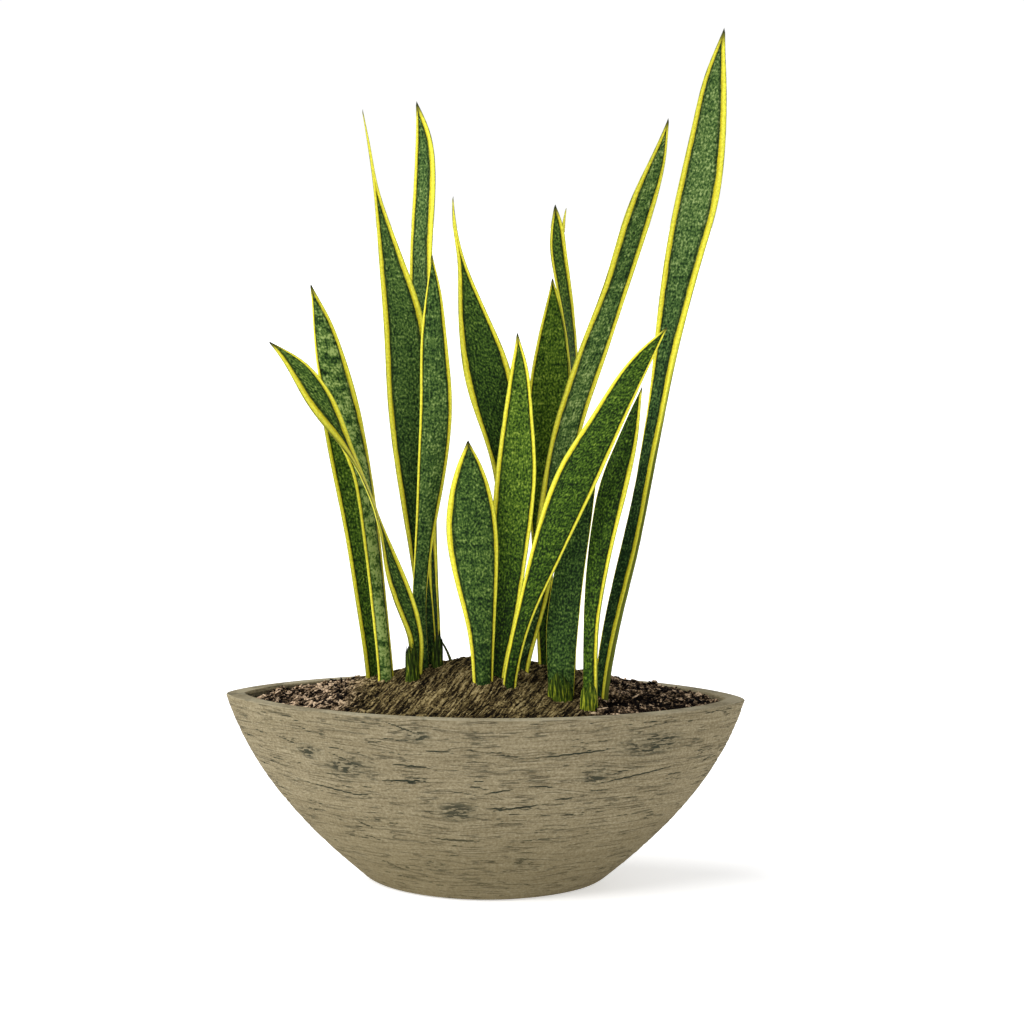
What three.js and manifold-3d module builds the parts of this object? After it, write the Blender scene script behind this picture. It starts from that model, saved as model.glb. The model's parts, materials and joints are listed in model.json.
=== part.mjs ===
// A snake plant in a long boat-shaped planter: sixteen upright sword leaves in five fans, a mound of
// potting soil, and a cast stone-look planter whose plan is a lens with two pointed ends.
// Millimetres. +X runs along the planter, +Y to its back, +Z up. The origin is the middle of its foot.
import * as THREE from "three";
import { mergeVertices } from "three/addons/utils/BufferGeometryUtils.js";
import Module from "manifold-3d";

// ---- Driving dimensions -------------------------------------------------------------------------

const PLANTER_LENGTH = 520; // tip to tip, over the rim
const PLANTER_WIDTH = 240; // front to back, over the rim
const PLANTER_HEIGHT = 190;
const FOOT_LENGTH = 228; // the flat that the planter stands on
const FOOT_WIDTH = 150;
const BELLY_OUT = 0.8; // the wall's curve is drawn towards this share of the way out from foot to rim
const BELLY_UP = 0.47; // at this share of the height
const TIP_SHARPNESS = 1.38; // 1 is an ellipse, 2 is a lens with sharp points

const WALL = 12; // side wall
const END_WALL = 21; // wall along the length at the two points
const FLOOR = 14;
const RIM_ROUND = 3;
const FOOT_ROUND = 6;

const DRAIN_RADIUS = 8;
const DRAIN_SPACING = 120; // between the middles of the two drain holes

const SOIL_BELOW_RIM = 8; // at the wall
const MOUND_HEIGHT = 46; // above the soil at the wall
const MOUND_LENGTH = 294; // where the mound has dropped to about a third of its height
const MOUND_WIDTH = 150;
const MOUND_SHIFT = [8, 5]; // the mound's top from the planter's middle

// How a leaf and a sheath are formed from foot to blade to point: half the angle of the channel's
// arc in degrees, and the thickness at the midrib.
const LEAF_FORM = { footBend: 62, bladeBend: 20, tipBend: 42, footThick: 6, bladeThick: 2.6 };
const SHEATH_FORM = { footBend: 64, bladeBend: 56, tipBend: 50, footThick: 2.2, bladeThick: 1.8 };
const MARGIN_SHARE = 0.25; // how much of the thickness is left at the two edges
const TIP_WIDTH = 0.9; // of the last section, before the point
const PLANTED = 20; // how deep a leaf stands in the soil

const FIT_GAP = 0.5; // between the soil and the planter
const POCKET_GAP = 0.5; // around each foot in the soil

const OUTLINE_POINTS = 40;
const LEAF_STEPS = 3; // sections between two stations of a leaf

// ---- Materials ----------------------------------------------------------------------------------

const stone = new THREE.MeshStandardMaterial({ color: 0x93896c, roughness: 0.85, metalness: 0 });
const soil = new THREE.MeshStandardMaterial({ color: 0x50442e, roughness: 0.95, metalness: 0 });
const leafGreen = new THREE.MeshStandardMaterial({ color: 0x3f5a28, roughness: 0.5, metalness: 0 });
const sheathGreen = new THREE.MeshStandardMaterial({ color: 0x596827, roughness: 0.8, metalness: 0 });
const shootGreen = new THREE.MeshStandardMaterial({ color: 0x5d6b2c, roughness: 0.6, metalness: 0 });

// ---- Closed solids ------------------------------------------------------------------------------

const wasm = await Module();
wasm.setup();

// A closed surface through rings of equal length, with a strip of faces over each end.
function skin(rings) {
  const count = rings[0].length;
  const top = (rings.length - 1) * count;
  const faces = [];
  for (let i = 0; i < count; i++) {
    const next = (i + 1) % count;
    for (let start = 0; start < top; start += count) {
      const [a, b] = [start + i, start + next];
      faces.push(a, b, b + count, a, b + count, a + count);
    }
  }
  for (let i = 0; i + 1 < count / 2; i++) {
    const j = count - 1 - i;
    faces.push(i, j - 1, i + 1, i, j, j - 1);
    faces.push(top + i, top + i + 1, top + j - 1, top + i, top + j - 1, top + j);
  }
  const geometry = new THREE.BufferGeometry().setFromPoints(rings.flat());
  geometry.setIndex(faces);
  return facingOut(geometry);
}

// The same surface, turned inside out if its faces point inwards.
function facingOut(geometry) {
  const position = geometry.getAttribute("position");
  const index = geometry.index.array;
  const corner = (k) => new THREE.Vector3().fromBufferAttribute(position, index[k]);
  let volume = 0;
  for (let k = 0; k < index.length; k += 3)
    volume += corner(k).dot(corner(k + 1).cross(corner(k + 2)));
  if (volume < 0)
    for (let k = 0; k < index.length; k += 3) [index[k], index[k + 1]] = [index[k + 1], index[k]];
  return geometry;
}

function toManifold(geometry) {
  const bare = geometry.clone();
  bare.deleteAttribute("normal");
  bare.deleteAttribute("uv");
  const merged = mergeVertices(bare, 1e-4);
  const vertProperties = merged.getAttribute("position").array;
  const triVerts = new Uint32Array(merged.index.array);
  return new wasm.Manifold(new wasm.Mesh({ numProp: 3, vertProperties, triVerts }));
}

function toGeometry(manifold) {
  const mesh = manifold.getMesh();
  const geometry = new THREE.BufferGeometry();
  geometry.setAttribute("position", new THREE.BufferAttribute(mesh.vertProperties, 3));
  geometry.setIndex(new THREE.BufferAttribute(mesh.triVerts, 1));
  return geometry;
}

function named(name, geometry, material) {
  geometry.computeVertexNormals();
  const mesh = new THREE.Mesh(geometry, material);
  mesh.name = name;
  return mesh;
}

// ---- Planter ------------------------------------------------------------------------------------

// Half the planter's length and width at a height. Both follow one curve from the foot to the rim.
function halfSizeAt(height) {
  const up = height / PLANTER_HEIGHT;
  // On the curve, up is 2t(1-t) BELLY_UP + t^2: this solves it for t.
  const square = 1 - 2 * BELLY_UP;
  const t = (-BELLY_UP + Math.sqrt(BELLY_UP ** 2 + square * up)) / square;
  const out = 2 * t * (1 - t) * BELLY_OUT + t * t;
  return {
    along: THREE.MathUtils.lerp(FOOT_LENGTH, PLANTER_LENGTH, out) / 2,
    across: THREE.MathUtils.lerp(FOOT_WIDTH, PLANTER_WIDTH, out) / 2,
  };
}

// The lens outline at a height, drawn in from the outer wall by two insets.
function outline(height, insetAlong = 0, insetAcross = 0) {
  const half = halfSizeAt(Math.min(Math.max(height, 0), PLANTER_HEIGHT));
  return (angle) => {
    const sine = Math.sin(angle);
    const bow = Math.sign(sine) * Math.abs(sine) ** TIP_SHARPNESS;
    return new THREE.Vector3(
      (half.along - insetAlong) * Math.cos(angle),
      (half.across - insetAcross) * bow,
      height,
    );
  };
}

function ringOf(curve) {
  const step = (2 * Math.PI) / OUTLINE_POINTS;
  return Array.from({ length: OUTLINE_POINTS }, (_, i) => curve(i * step));
}

// How far a rounded edge of this radius stands back at a distance below its flat.
const roundedBack = (radius, below) =>
  below >= radius ? 0 : radius - Math.sqrt(radius ** 2 - (radius - below) ** 2);

// The planter's hollow as a solid, drawn in all round by a gap. It runs out over the rim.
function hollow(gap) {
  const steps = 8;
  const rings = [];
  for (let i = 0; i <= steps; i++) {
    const height = FLOOR + ((PLANTER_HEIGHT - FLOOR) * i) / steps;
    rings.push(ringOf(outline(height, END_WALL + gap, WALL + gap)));
  }
  rings.push(rings.at(-1).map((p) => p.clone().setZ(PLANTER_HEIGHT + MOUND_HEIGHT)));
  return toManifold(skin(rings)).trimByPlane([0, 0, 1], FLOOR + gap);
}

function planter() {
  const bodyTop = PLANTER_HEIGHT - RIM_ROUND;
  const bodySteps = 9;
  const heights = [0, 1.5, FOOT_ROUND];
  for (let i = 1; i <= bodySteps; i++)
    heights.push(FOOT_ROUND + ((bodyTop - FOOT_ROUND) * i) / bodySteps);
  heights.push(PLANTER_HEIGHT - RIM_ROUND / 3, PLANTER_HEIGHT);
  const rings = heights.map((height) => {
    const below = PLANTER_HEIGHT - height;
    const back = roundedBack(FOOT_ROUND, height) + roundedBack(RIM_ROUND, below);
    return ringOf(outline(height, back, back));
  });
  let body = toManifold(skin(rings)).subtract(hollow(0));
  for (const side of [-1, 1]) {
    const drain = new THREE.CylinderGeometry(DRAIN_RADIUS, DRAIN_RADIUS, 3 * FLOOR, 20);
    drain.rotateX(Math.PI / 2);
    drain.translate((side * DRAIN_SPACING) / 2, 0, 0);
    body = body.subtract(toManifold(drain));
  }
  return named("planter", toGeometry(body), stone);
}

// ---- Soil surface -------------------------------------------------------------------------------

const SOIL_LEVEL = PLANTER_HEIGHT - SOIL_BELOW_RIM;

function soilHeight(x, y) {
  const along = (x - MOUND_SHIFT[0]) / (MOUND_LENGTH / 2);
  const across = (y - MOUND_SHIFT[1]) / (MOUND_WIDTH / 2);
  return SOIL_LEVEL + MOUND_HEIGHT * Math.exp(-(along ** 2) - across ** 2);
}

// ---- Leaves -------------------------------------------------------------------------------------

// One station of a leaf's midrib: x and y from the middle of its fan, up from the rim, the blade's width
// there, and how far the blade is turned about its own length. At 0 it faces the front, and a positive
// turn takes its right edge backwards.
const at = (x, y, up, width, turn) => ({ x, y, up, width, turn });

// The fans from left to right. place is the middle of a fan's feet, as shares of the way from the middle
// of the planter to its hollow's end and side. foot is where a leaf leaves the soil, with its width and
// turn there. hollow is the side that its channel opens to: -1 to the front, 1 to the back. A sheath is
// fibrous, and is wrapped round the front of a foot.
const FANS = [
  {
    name: "left_fan",
    place: [-0.427, -0.05],
    leaves: [
      {
        hollow: -1,
        foot: at(-9, 11, 0, 15, 20),
        stations: [
          at(-18, 13, 95, 19, 18),
          at(-27, 16, 165, 23, 16),
          at(-37, 18, 222, 26, 15),
          at(-48, 20, 270, 22, 15),
          at(-65, 21, 315, 0, 15),
        ],
      },
      {
        hollow: 1,
        foot: at(7, -10, 0, 15, 30),
        stations: [
          at(-1, -8, 105, 18, 40),
          at(-8.5, -7, 175, 24, 52),
          at(-17.5, -6, 232, 28, 54),
          at(-33, -5, 279, 34, 24),
          at(-46, -4, 328, 30, 10),
          at(-56, -3, 372, 18, 5),
          at(-67, -3, 409, 0, 0),
        ],
      },
    ],
    sheaths: [],
  },
  {
    name: "mid_left_fan",
    place: [-0.24, -0.02],
    leaves: [
      {
        hollow: -1,
        foot: at(-11, -15, 0, 14, 30),
        stations: [
          at(-9, -21, 62, 15, 34),
          at(-20.5, -33, 103, 22, 42),
          at(-32, -41, 140, 22, 60),
          at(-38, -46, 166, 19, 82),
          at(-46.5, -50, 198, 16, 94),
          at(-63, -55, 238, 21, 92),
          at(-83, -59, 276, 26, 56),
          at(-100, -62, 306, 26.5, 26),
          at(-120.5, -64, 336, 17, 20),
          at(-144, -65, 356, 0, 20),
        ],
      },
      {
        hollow: 1,
        foot: at(-4, -7, 0, 14, 12),
        stations: [
          at(-6, -10, 90, 13, 15),
          at(0, -15, 158, 18, 15),
          at(8, -17, 225, 28, 15),
          at(13, -19, 290, 32, 15),
          at(11, -21, 355, 26, 15),
          at(11, -22, 405, 14, 10),
          at(9, -22, 439, 0, 10),
        ],
      },
      {
        hollow: -1,
        foot: at(2, 7, 0, 15, 20),
        stations: [
          at(-5, 6, 120, 18, 20),
          at(-10, 5, 195, 33, 20),
          at(-16, 3, 285, 44, 18),
          at(-20, 1, 365, 42, 15),
          at(-33, -1, 432, 24, 12),
          at(-47, -2, 500, 4.5, 10),
          at(-53, -2, 540, 3, 10),
          at(-60, -2, 578, 0, 10),
        ],
      },
      {
        hollow: -1,
        foot: at(8, 16, 0, 14, -25),
        stations: [
          at(2, 18, 150, 23, -32),
          at(-2, 21, 255, 34, -36),
          at(-3.5, 23, 355, 34, -36),
          at(-4.5, 24, 440, 28, -34),
          at(-0.5, 25, 515, 25, -28),
          at(-2, 25, 555, 17, -20),
          at(-10, 25, 586, 0, -15),
        ],
      },
    ],
    sheaths: [
      {
        hollow: 1,
        foot: at(-11, -27, 0, 14, 6),
        stations: [
          at(-12, -30, 50, 11, 6),
          at(-14, -33, 68, 0, 6),
        ],
      },
      {
        hollow: 1,
        foot: at(11, -7, 0, 11, -8),
        stations: [
          at(12, -8, 58, 9, -8),
          at(13, -9, 74, 0, -8),
        ],
      },
    ],
  },
  {
    name: "centre_fan",
    place: [0.09, -0.3],
    leaves: [
      {
        hollow: 1,
        foot: at(-19, -13, 0, 18, 8),
        stations: [
          at(-20, -18, 75, 27, 10),
          at(-25, -23, 132, 44, 10),
          at(-28.5, -26, 175, 50, 10),
          at(-30, -29, 215, 38.5, 8),
          at(-31, -30, 243, 19.5, 8),
          at(-32, -31, 262, 0, 8),
        ],
      },
      {
        hollow: -1,
        foot: at(-6, 0, 0, 15, -10),
        stations: [
          at(2.5, -3, 100, 29.5, -12),
          at(8.5, -4, 170, 40, -14),
          at(14, -5, 230, 41, -14),
          at(15.5, -6, 285, 29.5, -12),
          at(16.5, -6, 332, 17, -10),
          at(14, -6, 364, 0, -10),
        ],
      },
      {
        hollow: 1,
        foot: at(6, -15, 0, 12, -20),
        stations: [
          at(20, -26, 85, 16, -22),
          at(42, -38, 152, 31, -20),
          at(69.5, -49, 223, 41, -18),
          at(98, -58, 277, 32, -16),
          at(125, -65, 327, 23, -14),
          at(144, -69, 355, 12, -12),
          at(159, -72, 374, 0, -12),
        ],
      },
      {
        hollow: -1,
        foot: at(16, 9, 0, 13, 15),
        stations: [
          at(32, 14, 105, 22, 24),
          at(45, 17, 190, 28, 28),
          at(60, 19, 267, 31, 30),
          at(80, 22, 330, 31, 28),
          at(106, 27, 402, 26, 26),
          at(130, 31, 480, 28, 22),
          at(149, 33, 533, 15, 20),
          at(158, 34, 569, 0, 20),
        ],
      },
      {
        hollow: -1,
        foot: at(0, 24, 0, 16, 15),
        stations: [
          at(6, 27, 150, 23, 18),
          at(0.5, 31, 235, 30, 18),
          at(-17, 35, 315, 48, 16),
          at(-33, 38, 378, 29, 12),
          at(-44, 40, 432, 6.5, 10),
          at(-51, 41, 468, 4, 10),
          at(-52, 41, 494, 0, 10),
        ],
      },
    ],
    sheaths: [],
  },
  {
    name: "mid_right_fan",
    place: [0.31, -0.15],
    leaves: [
      {
        hollow: 1,
        foot: at(4, -36, 0, 24, -12),
        stations: [
          at(5, -35, 75, 32, -14),
          at(12.5, -33, 135, 30, -16),
          at(22.5, -31, 185, 23, -16),
          at(31.5, -29, 232, 15, -16),
          at(40, -28, 272, 0, -16),
        ],
      },
      {
        hollow: -1,
        foot: at(-12, 22, 0, 16, 10),
        stations: [
          at(-17, 29, 150, 21, 12),
          at(-14, 35, 245, 37.5, 14),
          at(-10, 39, 305, 43, 14),
          at(-7, 42, 358, 30, 12),
          at(-7, 44, 390, 14, 10),
          at(-8, 45, 414, 0, 10),
        ],
      },
      {
        hollow: -1,
        foot: at(8, 26, 0, 15, 30),
        stations: [
          at(12, 31, 190, 22, 52),
          at(14, 32, 290, 21, 66),
          at(10.5, 32, 352, 20, 62),
          at(3, 31, 405, 21, 48),
          at(-3, 30, 445, 19, 32),
          at(-3, 29, 468, 14, 28),
          at(-5, 29, 486, 0, 28),
        ],
      },
    ],
    sheaths: [
      {
        hollow: 1,
        foot: at(4, -46, 0, 25, -6),
        stations: [
          at(3, -48, 25, 20, -6),
          at(2, -50, 40, 0, -6),
        ],
      },
    ],
  },
  {
    name: "right_fan",
    place: [0.47, -0.55],
    leaves: [
      {
        hollow: 1,
        foot: at(-5, -7, 0, 14, -24),
        stations: [
          at(-4.5, -7, 80, 16, -26),
          at(2.5, -6, 148, 25, -28),
          at(15.5, -5, 216, 31, -28),
          at(30.5, -3, 264, 21, -26),
          at(38, -2, 292, 10, -24),
          at(44, -1, 314, 0, -24),
        ],
      },
      {
        hollow: -1,
        foot: at(6, 14, 0, 13, -25),
        stations: [
          at(17, 13, 80, 18, -32),
          at(35.5, 16, 160, 21, -38),
          at(49.5, 20, 235, 20, -38),
          at(61.5, 24, 310, 21, -28),
          at(71, 29, 375, 27.5, -8),
          at(84, 35, 445, 37, 8),
          at(96, 40, 497, 42, 10),
          at(105, 44, 555, 34, 10),
          at(111, 47, 608, 22, 8),
          at(120, 49, 654, 0, 8),
        ],
      },
    ],
    sheaths: [
      {
        hollow: 1,
        foot: at(-6, -17, 0, 18, -10),
        stations: [
          at(-6, -19, 24, 13, -10),
          at(-7, -21, 38, 0, -10),
        ],
      },
    ],
  },
];

const smooth = (low, high, value) => THREE.MathUtils.smoothstep(value, low, high);

function middleOf(fan) {
  const x = fan.place[0] * (PLANTER_LENGTH / 2 - END_WALL);
  const y = fan.place[1] * (PLANTER_WIDTH / 2 - WALL);
  return new THREE.Vector3(x, y, 0);
}

// A leaf's midrib, width and turn as curves through its stations, from its buried end to its point.
function curvesOf(leaf, fan) {
  const middle = middleOf(fan);
  const pointOf = (station, height) =>
    new THREE.Vector3(middle.x + station.x, middle.y + station.y, height);
  const surface = soilHeight(middle.x + leaf.foot.x, middle.y + leaf.foot.y);
  const midrib = [
    pointOf(leaf.foot, surface - PLANTED),
    pointOf(leaf.foot, surface),
    ...leaf.stations.map((station) => pointOf(station, PLANTER_HEIGHT + station.up)),
  ];
  const blade = [leaf.foot, leaf.foot, ...leaf.stations];
  return {
    spans: midrib.length - 1,
    midrib: new THREE.CatmullRomCurve3(midrib),
    blade: new THREE.SplineCurve(blade.map((s) => new THREE.Vector2(s.width, s.turn))),
  };
}

// One closed section across a leaf: a crescent whose two blunt ends are the leaf's edges. grow makes it
// larger all round, for the pocket that the foot stands in.
function leafSection(curves, hollow, form, t, grow = 0) {
  const middle = curves.midrib.getPoint(t);
  const along = curves.midrib.getTangent(t);
  const { x: width, y: turn } = curves.blade.getPoint(t);
  const toRight = new THREE.Vector3(1, 0, 0).addScaledVector(along, -along.x).normalize();
  const toBack = new THREE.Vector3().crossVectors(along, toRight);
  const angle = THREE.MathUtils.degToRad(turn);
  const across = toRight.multiplyScalar(Math.cos(angle)).addScaledVector(toBack, Math.sin(angle));
  const normal = new THREE.Vector3().crossVectors(along, across);

  const half = Math.max(width, TIP_WIDTH) / 2;
  const opened = THREE.MathUtils.lerp(form.footBend, form.bladeBend, smooth(0.05, 0.4, t));
  const bend = THREE.MathUtils.degToRad(
    THREE.MathUtils.lerp(opened, form.tipBend, smooth(0.75, 1, t)),
  );
  const radius = half / Math.sin(bend);
  const thickness = Math.min(
    THREE.MathUtils.lerp(form.footThick, form.bladeThick, smooth(0.05, 0.35, t)),
    half,
  );
  const turned = (lean) =>
    across
      .clone()
      .multiplyScalar(Math.cos(lean))
      .addScaledVector(normal, hollow * Math.sin(lean));
  const place = (side, face) => {
    const lean = bend * side;
    const facing = turned(lean + (hollow * Math.PI) / 2).multiplyScalar(face);
    const left = thickness * (1 - (1 - MARGIN_SHARE) * side * side);
    const beyond = Math.abs(side) === 1 ? side * grow : 0;
    return middle
      .clone()
      .addScaledVector(across, radius * Math.sin(lean))
      .addScaledVector(normal, hollow * radius * (1 - Math.cos(lean)))
      .addScaledVector(facing, left / 2 + grow)
      .addScaledVector(turned(lean), beyond);
  };
  const sides = [-1, -0.4, 0.4, 1];
  const front = sides.map((side) => place(side, -1));
  const back = sides.reverse().map((side) => place(side, 1));
  return [...front, ...back];
}

// Each leaf and sheath with its node's name, its solid and the pocket that is cut out of the soil for its
// foot: the same foot, larger by the pocket's gap, and long enough to run out past the surface.
function growAll() {
  const grown = [];
  for (const fan of FANS)
    for (const [kind, list, form, material] of [
      ["leaf", fan.leaves, LEAF_FORM, leafGreen],
      ["sheath", fan.sheaths, SHEATH_FORM, sheathGreen],
    ])
      list.forEach((leaf, number) => {
        const curves = curvesOf(leaf, fan);
        const steps = curves.spans * LEAF_STEPS;
        const sections = [];
        for (let i = 0; i <= steps; i++)
          sections.push(leafSection(curves, leaf.hollow, form, i / steps));
        const pocket = [];
        for (let i = 0; i <= LEAF_STEPS + 2; i++)
          pocket.push(leafSection(curves, leaf.hollow, form, i / steps, POCKET_GAP));
        pocket[0].forEach((p) => p.setZ(p.z - POCKET_GAP));
        const name = `${fan.name}_${kind}_${number + 1}`;
        grown.push({ name, material, solid: skin(sections), pocket: skin(pocket) });
      });
  return grown;
}

// ---- Side shoot ---------------------------------------------------------------------------------

// A young runner that bends out of the soil beside one fan. Its foot and top are from the fan's middle.
const SHOOT = {
  fan: FANS[1],
  foot: [23, 6],
  top: [11, 2],
  rise: 26,
  footRadius: 2.1,
  topRadius: 0.7,
  planted: 10,
  sides: 8,
  steps: 6,
};

function shootSections(grow) {
  const middle = middleOf(SHOOT.fan);
  const x = middle.x + SHOOT.foot[0];
  const y = middle.y + SHOOT.foot[1];
  const ground = soilHeight(x, y);
  const path = new THREE.QuadraticBezierCurve3(
    new THREE.Vector3(x + 3, y, ground - SHOOT.planted),
    new THREE.Vector3(x, y, ground + SHOOT.rise / 3),
    new THREE.Vector3(middle.x + SHOOT.top[0], middle.y + SHOOT.top[1], ground + SHOOT.rise),
  );
  const frames = path.computeFrenetFrames(SHOOT.steps, false);
  const sections = [];
  for (let i = 0; i <= SHOOT.steps; i++) {
    const share = i / SHOOT.steps;
    const radius = THREE.MathUtils.lerp(SHOOT.footRadius, SHOOT.topRadius, share) + grow;
    const centre = path.getPoint(share);
    const ring = Array.from({ length: SHOOT.sides }, (_, side) => {
      const angle = (2 * Math.PI * side) / SHOOT.sides;
      return centre
        .clone()
        .addScaledVector(frames.normals[i], radius * Math.cos(angle))
        .addScaledVector(frames.binormals[i], radius * Math.sin(angle));
    });
    sections.push(ring);
  }
  sections[0].forEach((p) => p.setZ(p.z - grow));
  return sections;
}

// ---- Potting soil -------------------------------------------------------------------------------

function pottingSoil(grown) {
  const rim = outline(PLANTER_HEIGHT);
  const rings = [ringOf(rim).map((p) => p.setZ(0))];
  const steps = 9;
  for (let i = 0; i < steps; i++) {
    const share = 1 - i / steps;
    const across = ringOf(rim).map((p) => p.multiplyScalar(share));
    rings.push(across.map((p) => p.setZ(soilHeight(p.x, p.y))));
  }
  let body = hollow(FIT_GAP).intersect(toManifold(skin(rings)));
  for (const { pocket } of grown) body = body.subtract(toManifold(pocket));
  body = body.subtract(toManifold(skin(shootSections(POCKET_GAP))));
  return named("potting_soil", toGeometry(body), soil);
}

// ---- The whole plant ----------------------------------------------------------------------------

const plant = new THREE.Group();
const grown = growAll();
plant.add(planter());
plant.add(pottingSoil(grown));
for (const { name, solid, material } of grown) plant.add(named(name, solid, material));
plant.add(named("side_shoot", skin(shootSections(0)), shootGreen));

export default plant;
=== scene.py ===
# %% [markdown]
# # A snake plant in a boat-shaped planter
#
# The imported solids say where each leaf, the soil and the planter are. They are plain and faceted, so
# every one of them gets a finer mesh here, drawn from its own solid, and a finish built from nodes.
# All lengths are in metres, +X runs along the planter, +Y to its back and +Z up.

import json
import math

import bpy
import numpy as np
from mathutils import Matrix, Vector
from mathutils.geometry import tessellate_polygon


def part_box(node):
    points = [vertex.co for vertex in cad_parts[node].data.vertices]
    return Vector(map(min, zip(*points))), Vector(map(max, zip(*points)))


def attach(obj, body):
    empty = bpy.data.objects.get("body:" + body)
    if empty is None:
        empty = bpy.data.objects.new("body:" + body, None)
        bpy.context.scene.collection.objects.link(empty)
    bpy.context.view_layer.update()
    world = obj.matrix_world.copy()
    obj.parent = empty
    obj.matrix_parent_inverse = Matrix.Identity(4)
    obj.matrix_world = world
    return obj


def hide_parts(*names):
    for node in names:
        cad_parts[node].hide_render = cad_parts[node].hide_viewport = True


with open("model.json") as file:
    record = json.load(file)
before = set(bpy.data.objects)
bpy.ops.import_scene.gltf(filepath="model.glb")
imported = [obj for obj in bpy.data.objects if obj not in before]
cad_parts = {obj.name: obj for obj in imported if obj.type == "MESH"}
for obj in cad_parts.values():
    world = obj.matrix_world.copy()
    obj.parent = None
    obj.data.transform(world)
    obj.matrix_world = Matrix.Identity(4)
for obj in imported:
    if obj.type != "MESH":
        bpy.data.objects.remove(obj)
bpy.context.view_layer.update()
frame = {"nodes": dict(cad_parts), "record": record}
MM = 0.001
print("solids:", len(frame["nodes"]))

# %% [markdown]
# ## Tools for the whole lesson
#
# Blender's own noise nodes work inside materials. For shaping points we need noise in numbers too, so
# this one blends random values from the corners of a grid of cells. A cell may be long one way and
# short another, which is how wood grain, leaf streaks and fibres are drawn.

# %% Noise for shaping points
def grid_noise(points, cell, seed=0):
    """Smooth noise from -1 to 1. Its bumps are about as large as cell, one number or one per axis."""
    place = np.asarray(points, float) / cell
    corner = np.floor(place).astype(np.int64)
    part = place - corner
    eased = part * part * (3 - 2 * part)
    total = np.zeros(place.shape[:-1])
    for step in np.ndindex(2, 2, 2):
        at = corner + step
        mixed = at[..., 0] * 73856093 ^ at[..., 1] * 19349663 ^ at[..., 2] * 83492791 ^ seed * 15485863
        mixed = (mixed ^ (mixed >> 13)) * 1274126177 & 0x7FFFFFFF
        value = (mixed ^ (mixed >> 16)) % 65536 / 32768 - 1
        total += value * np.prod(np.where(np.array(step) == 1, eased, 1 - eased), axis=-1)
    return total


def line_noise(values, cell, seed=0):
    """The same noise along a line."""
    values = np.asarray(values, float)
    return grid_noise(np.stack([values, values * 0 + 0.37 * cell, values * 0], -1), cell, seed)


# %% [markdown]
# A mesh is a list of points and a list of faces. Leaves, sheaths and the planter are all skins drawn
# over rings of points, so one helper joins the rings. Another makes the object, turns its faces
# outwards, hangs it on the plant's body and hides the solid that it stands for.

# %% Meshes from rings
def ring_faces(rings, sides, closed=True):
    """Four-sided faces between rings of points that follow one another in the point list."""
    start = np.arange(rings - 1)[:, None] * sides
    side = np.arange(sides if closed else sides - 1)
    near = start + side
    far = start + (side + 1) % sides
    return np.stack([near, far, far + sides, near + sides], -1).reshape(-1, 4).tolist()


def tube_faces(rings, sides, top=True):
    """Faces of a tube of rings, closed at the foot and, unless told otherwise, at the top."""
    faces = ring_faces(rings, sides)
    faces.append(list(range(sides))[::-1])
    if top:
        faces.append(list(range((rings - 1) * sides, rings * sides)))
    return faces


# %% A piece of the plant
def volume_of(points, faces):
    """The space inside a closed skin. It is negative where the faces look inwards."""
    fans = [(face[0], *pair) for face in faces for pair in zip(face[1:-1], face[2:])]
    one, two, three = points[np.array(fans)].transpose(1, 0, 2)
    return (one * np.cross(two, three)).sum() / 6


def make_piece(name, points, faces, material, stands_for=None):
    """A smooth closed mesh that rides on the plant's one body and takes the place of a solid."""
    points = np.asarray(points, float)
    if volume_of(points, faces) < 0:
        faces = [list(face)[::-1] for face in faces]
    mesh = bpy.data.meshes.new(name)
    mesh.from_pydata(points.tolist(), [], faces)
    mesh.materials.append(material)
    mesh.shade_smooth()
    piece = bpy.data.objects.new(name, mesh)
    bpy.context.scene.collection.objects.link(piece)
    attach(piece, "root")
    if stands_for:
        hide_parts(stands_for)
    print(name, len(mesh.polygons), "faces")
    return piece


def store(piece, **numbers):
    """Keeps numbers, or sets of three, with each point, for the material to read."""
    for name, values in numbers.items():
        values = np.asarray(values, np.float32)
        kind, field = ("FLOAT", "value") if values.ndim == 1 else ("FLOAT_VECTOR", "vector")
        attribute = piece.data.attributes.new(name, kind, "POINT")
        attribute.data.foreach_set(field, values.ravel())


# %% [markdown]
# Materials are chains of nodes. They can be joined by hand in the editor, but a finish with thirty nodes
# is easier to read as a recipe. These helpers each add one kind of node, so that every finish below is
# a short list of steps.

# %% Adding nodes
def plug(tree, socket, value):
    """Gives a socket what it needs: a link from another socket, a colour or a number."""
    if isinstance(value, bpy.types.NodeSocket):
        tree.links.new(value, socket)
    else:
        socket.default_value = (*value, 1) if socket.type == "RGBA" else value


def add_node(tree, kind, inputs=None, **settings):
    made = tree.nodes.new(kind)
    for key, value in settings.items():
        setattr(made, key, value)
    for key, value in (inputs or {}).items():
        plug(tree, made.inputs[key], value)
    return made


def stored(tree, name, output="Fac"):
    """Reads numbers that were kept with the points."""
    return add_node(tree, "ShaderNodeAttribute", attribute_name=name).outputs[output]


def arithmetic(tree, operation, first, second=0.0, third=0.0):
    return add_node(tree, "ShaderNodeMath", {0: first, 1: second, 2: third}, operation=operation).outputs[0]


def rescale(tree, value, low, high, to_low=0.0, to_high=1.0):
    """A value taken smoothly from one range to another and kept inside it."""
    inputs = {"Value": value, "From Min": low, "From Max": high, "To Min": to_low, "To Max": to_high}
    return add_node(tree, "ShaderNodeMapRange", inputs, interpolation_type="SMOOTHSTEP").outputs["Result"]


def centred(tree, value, amount):
    """A noise value made to swing round nought, as wide as amount."""
    return arithmetic(tree, "MULTIPLY_ADD", value, amount, -0.5 * amount)


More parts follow.
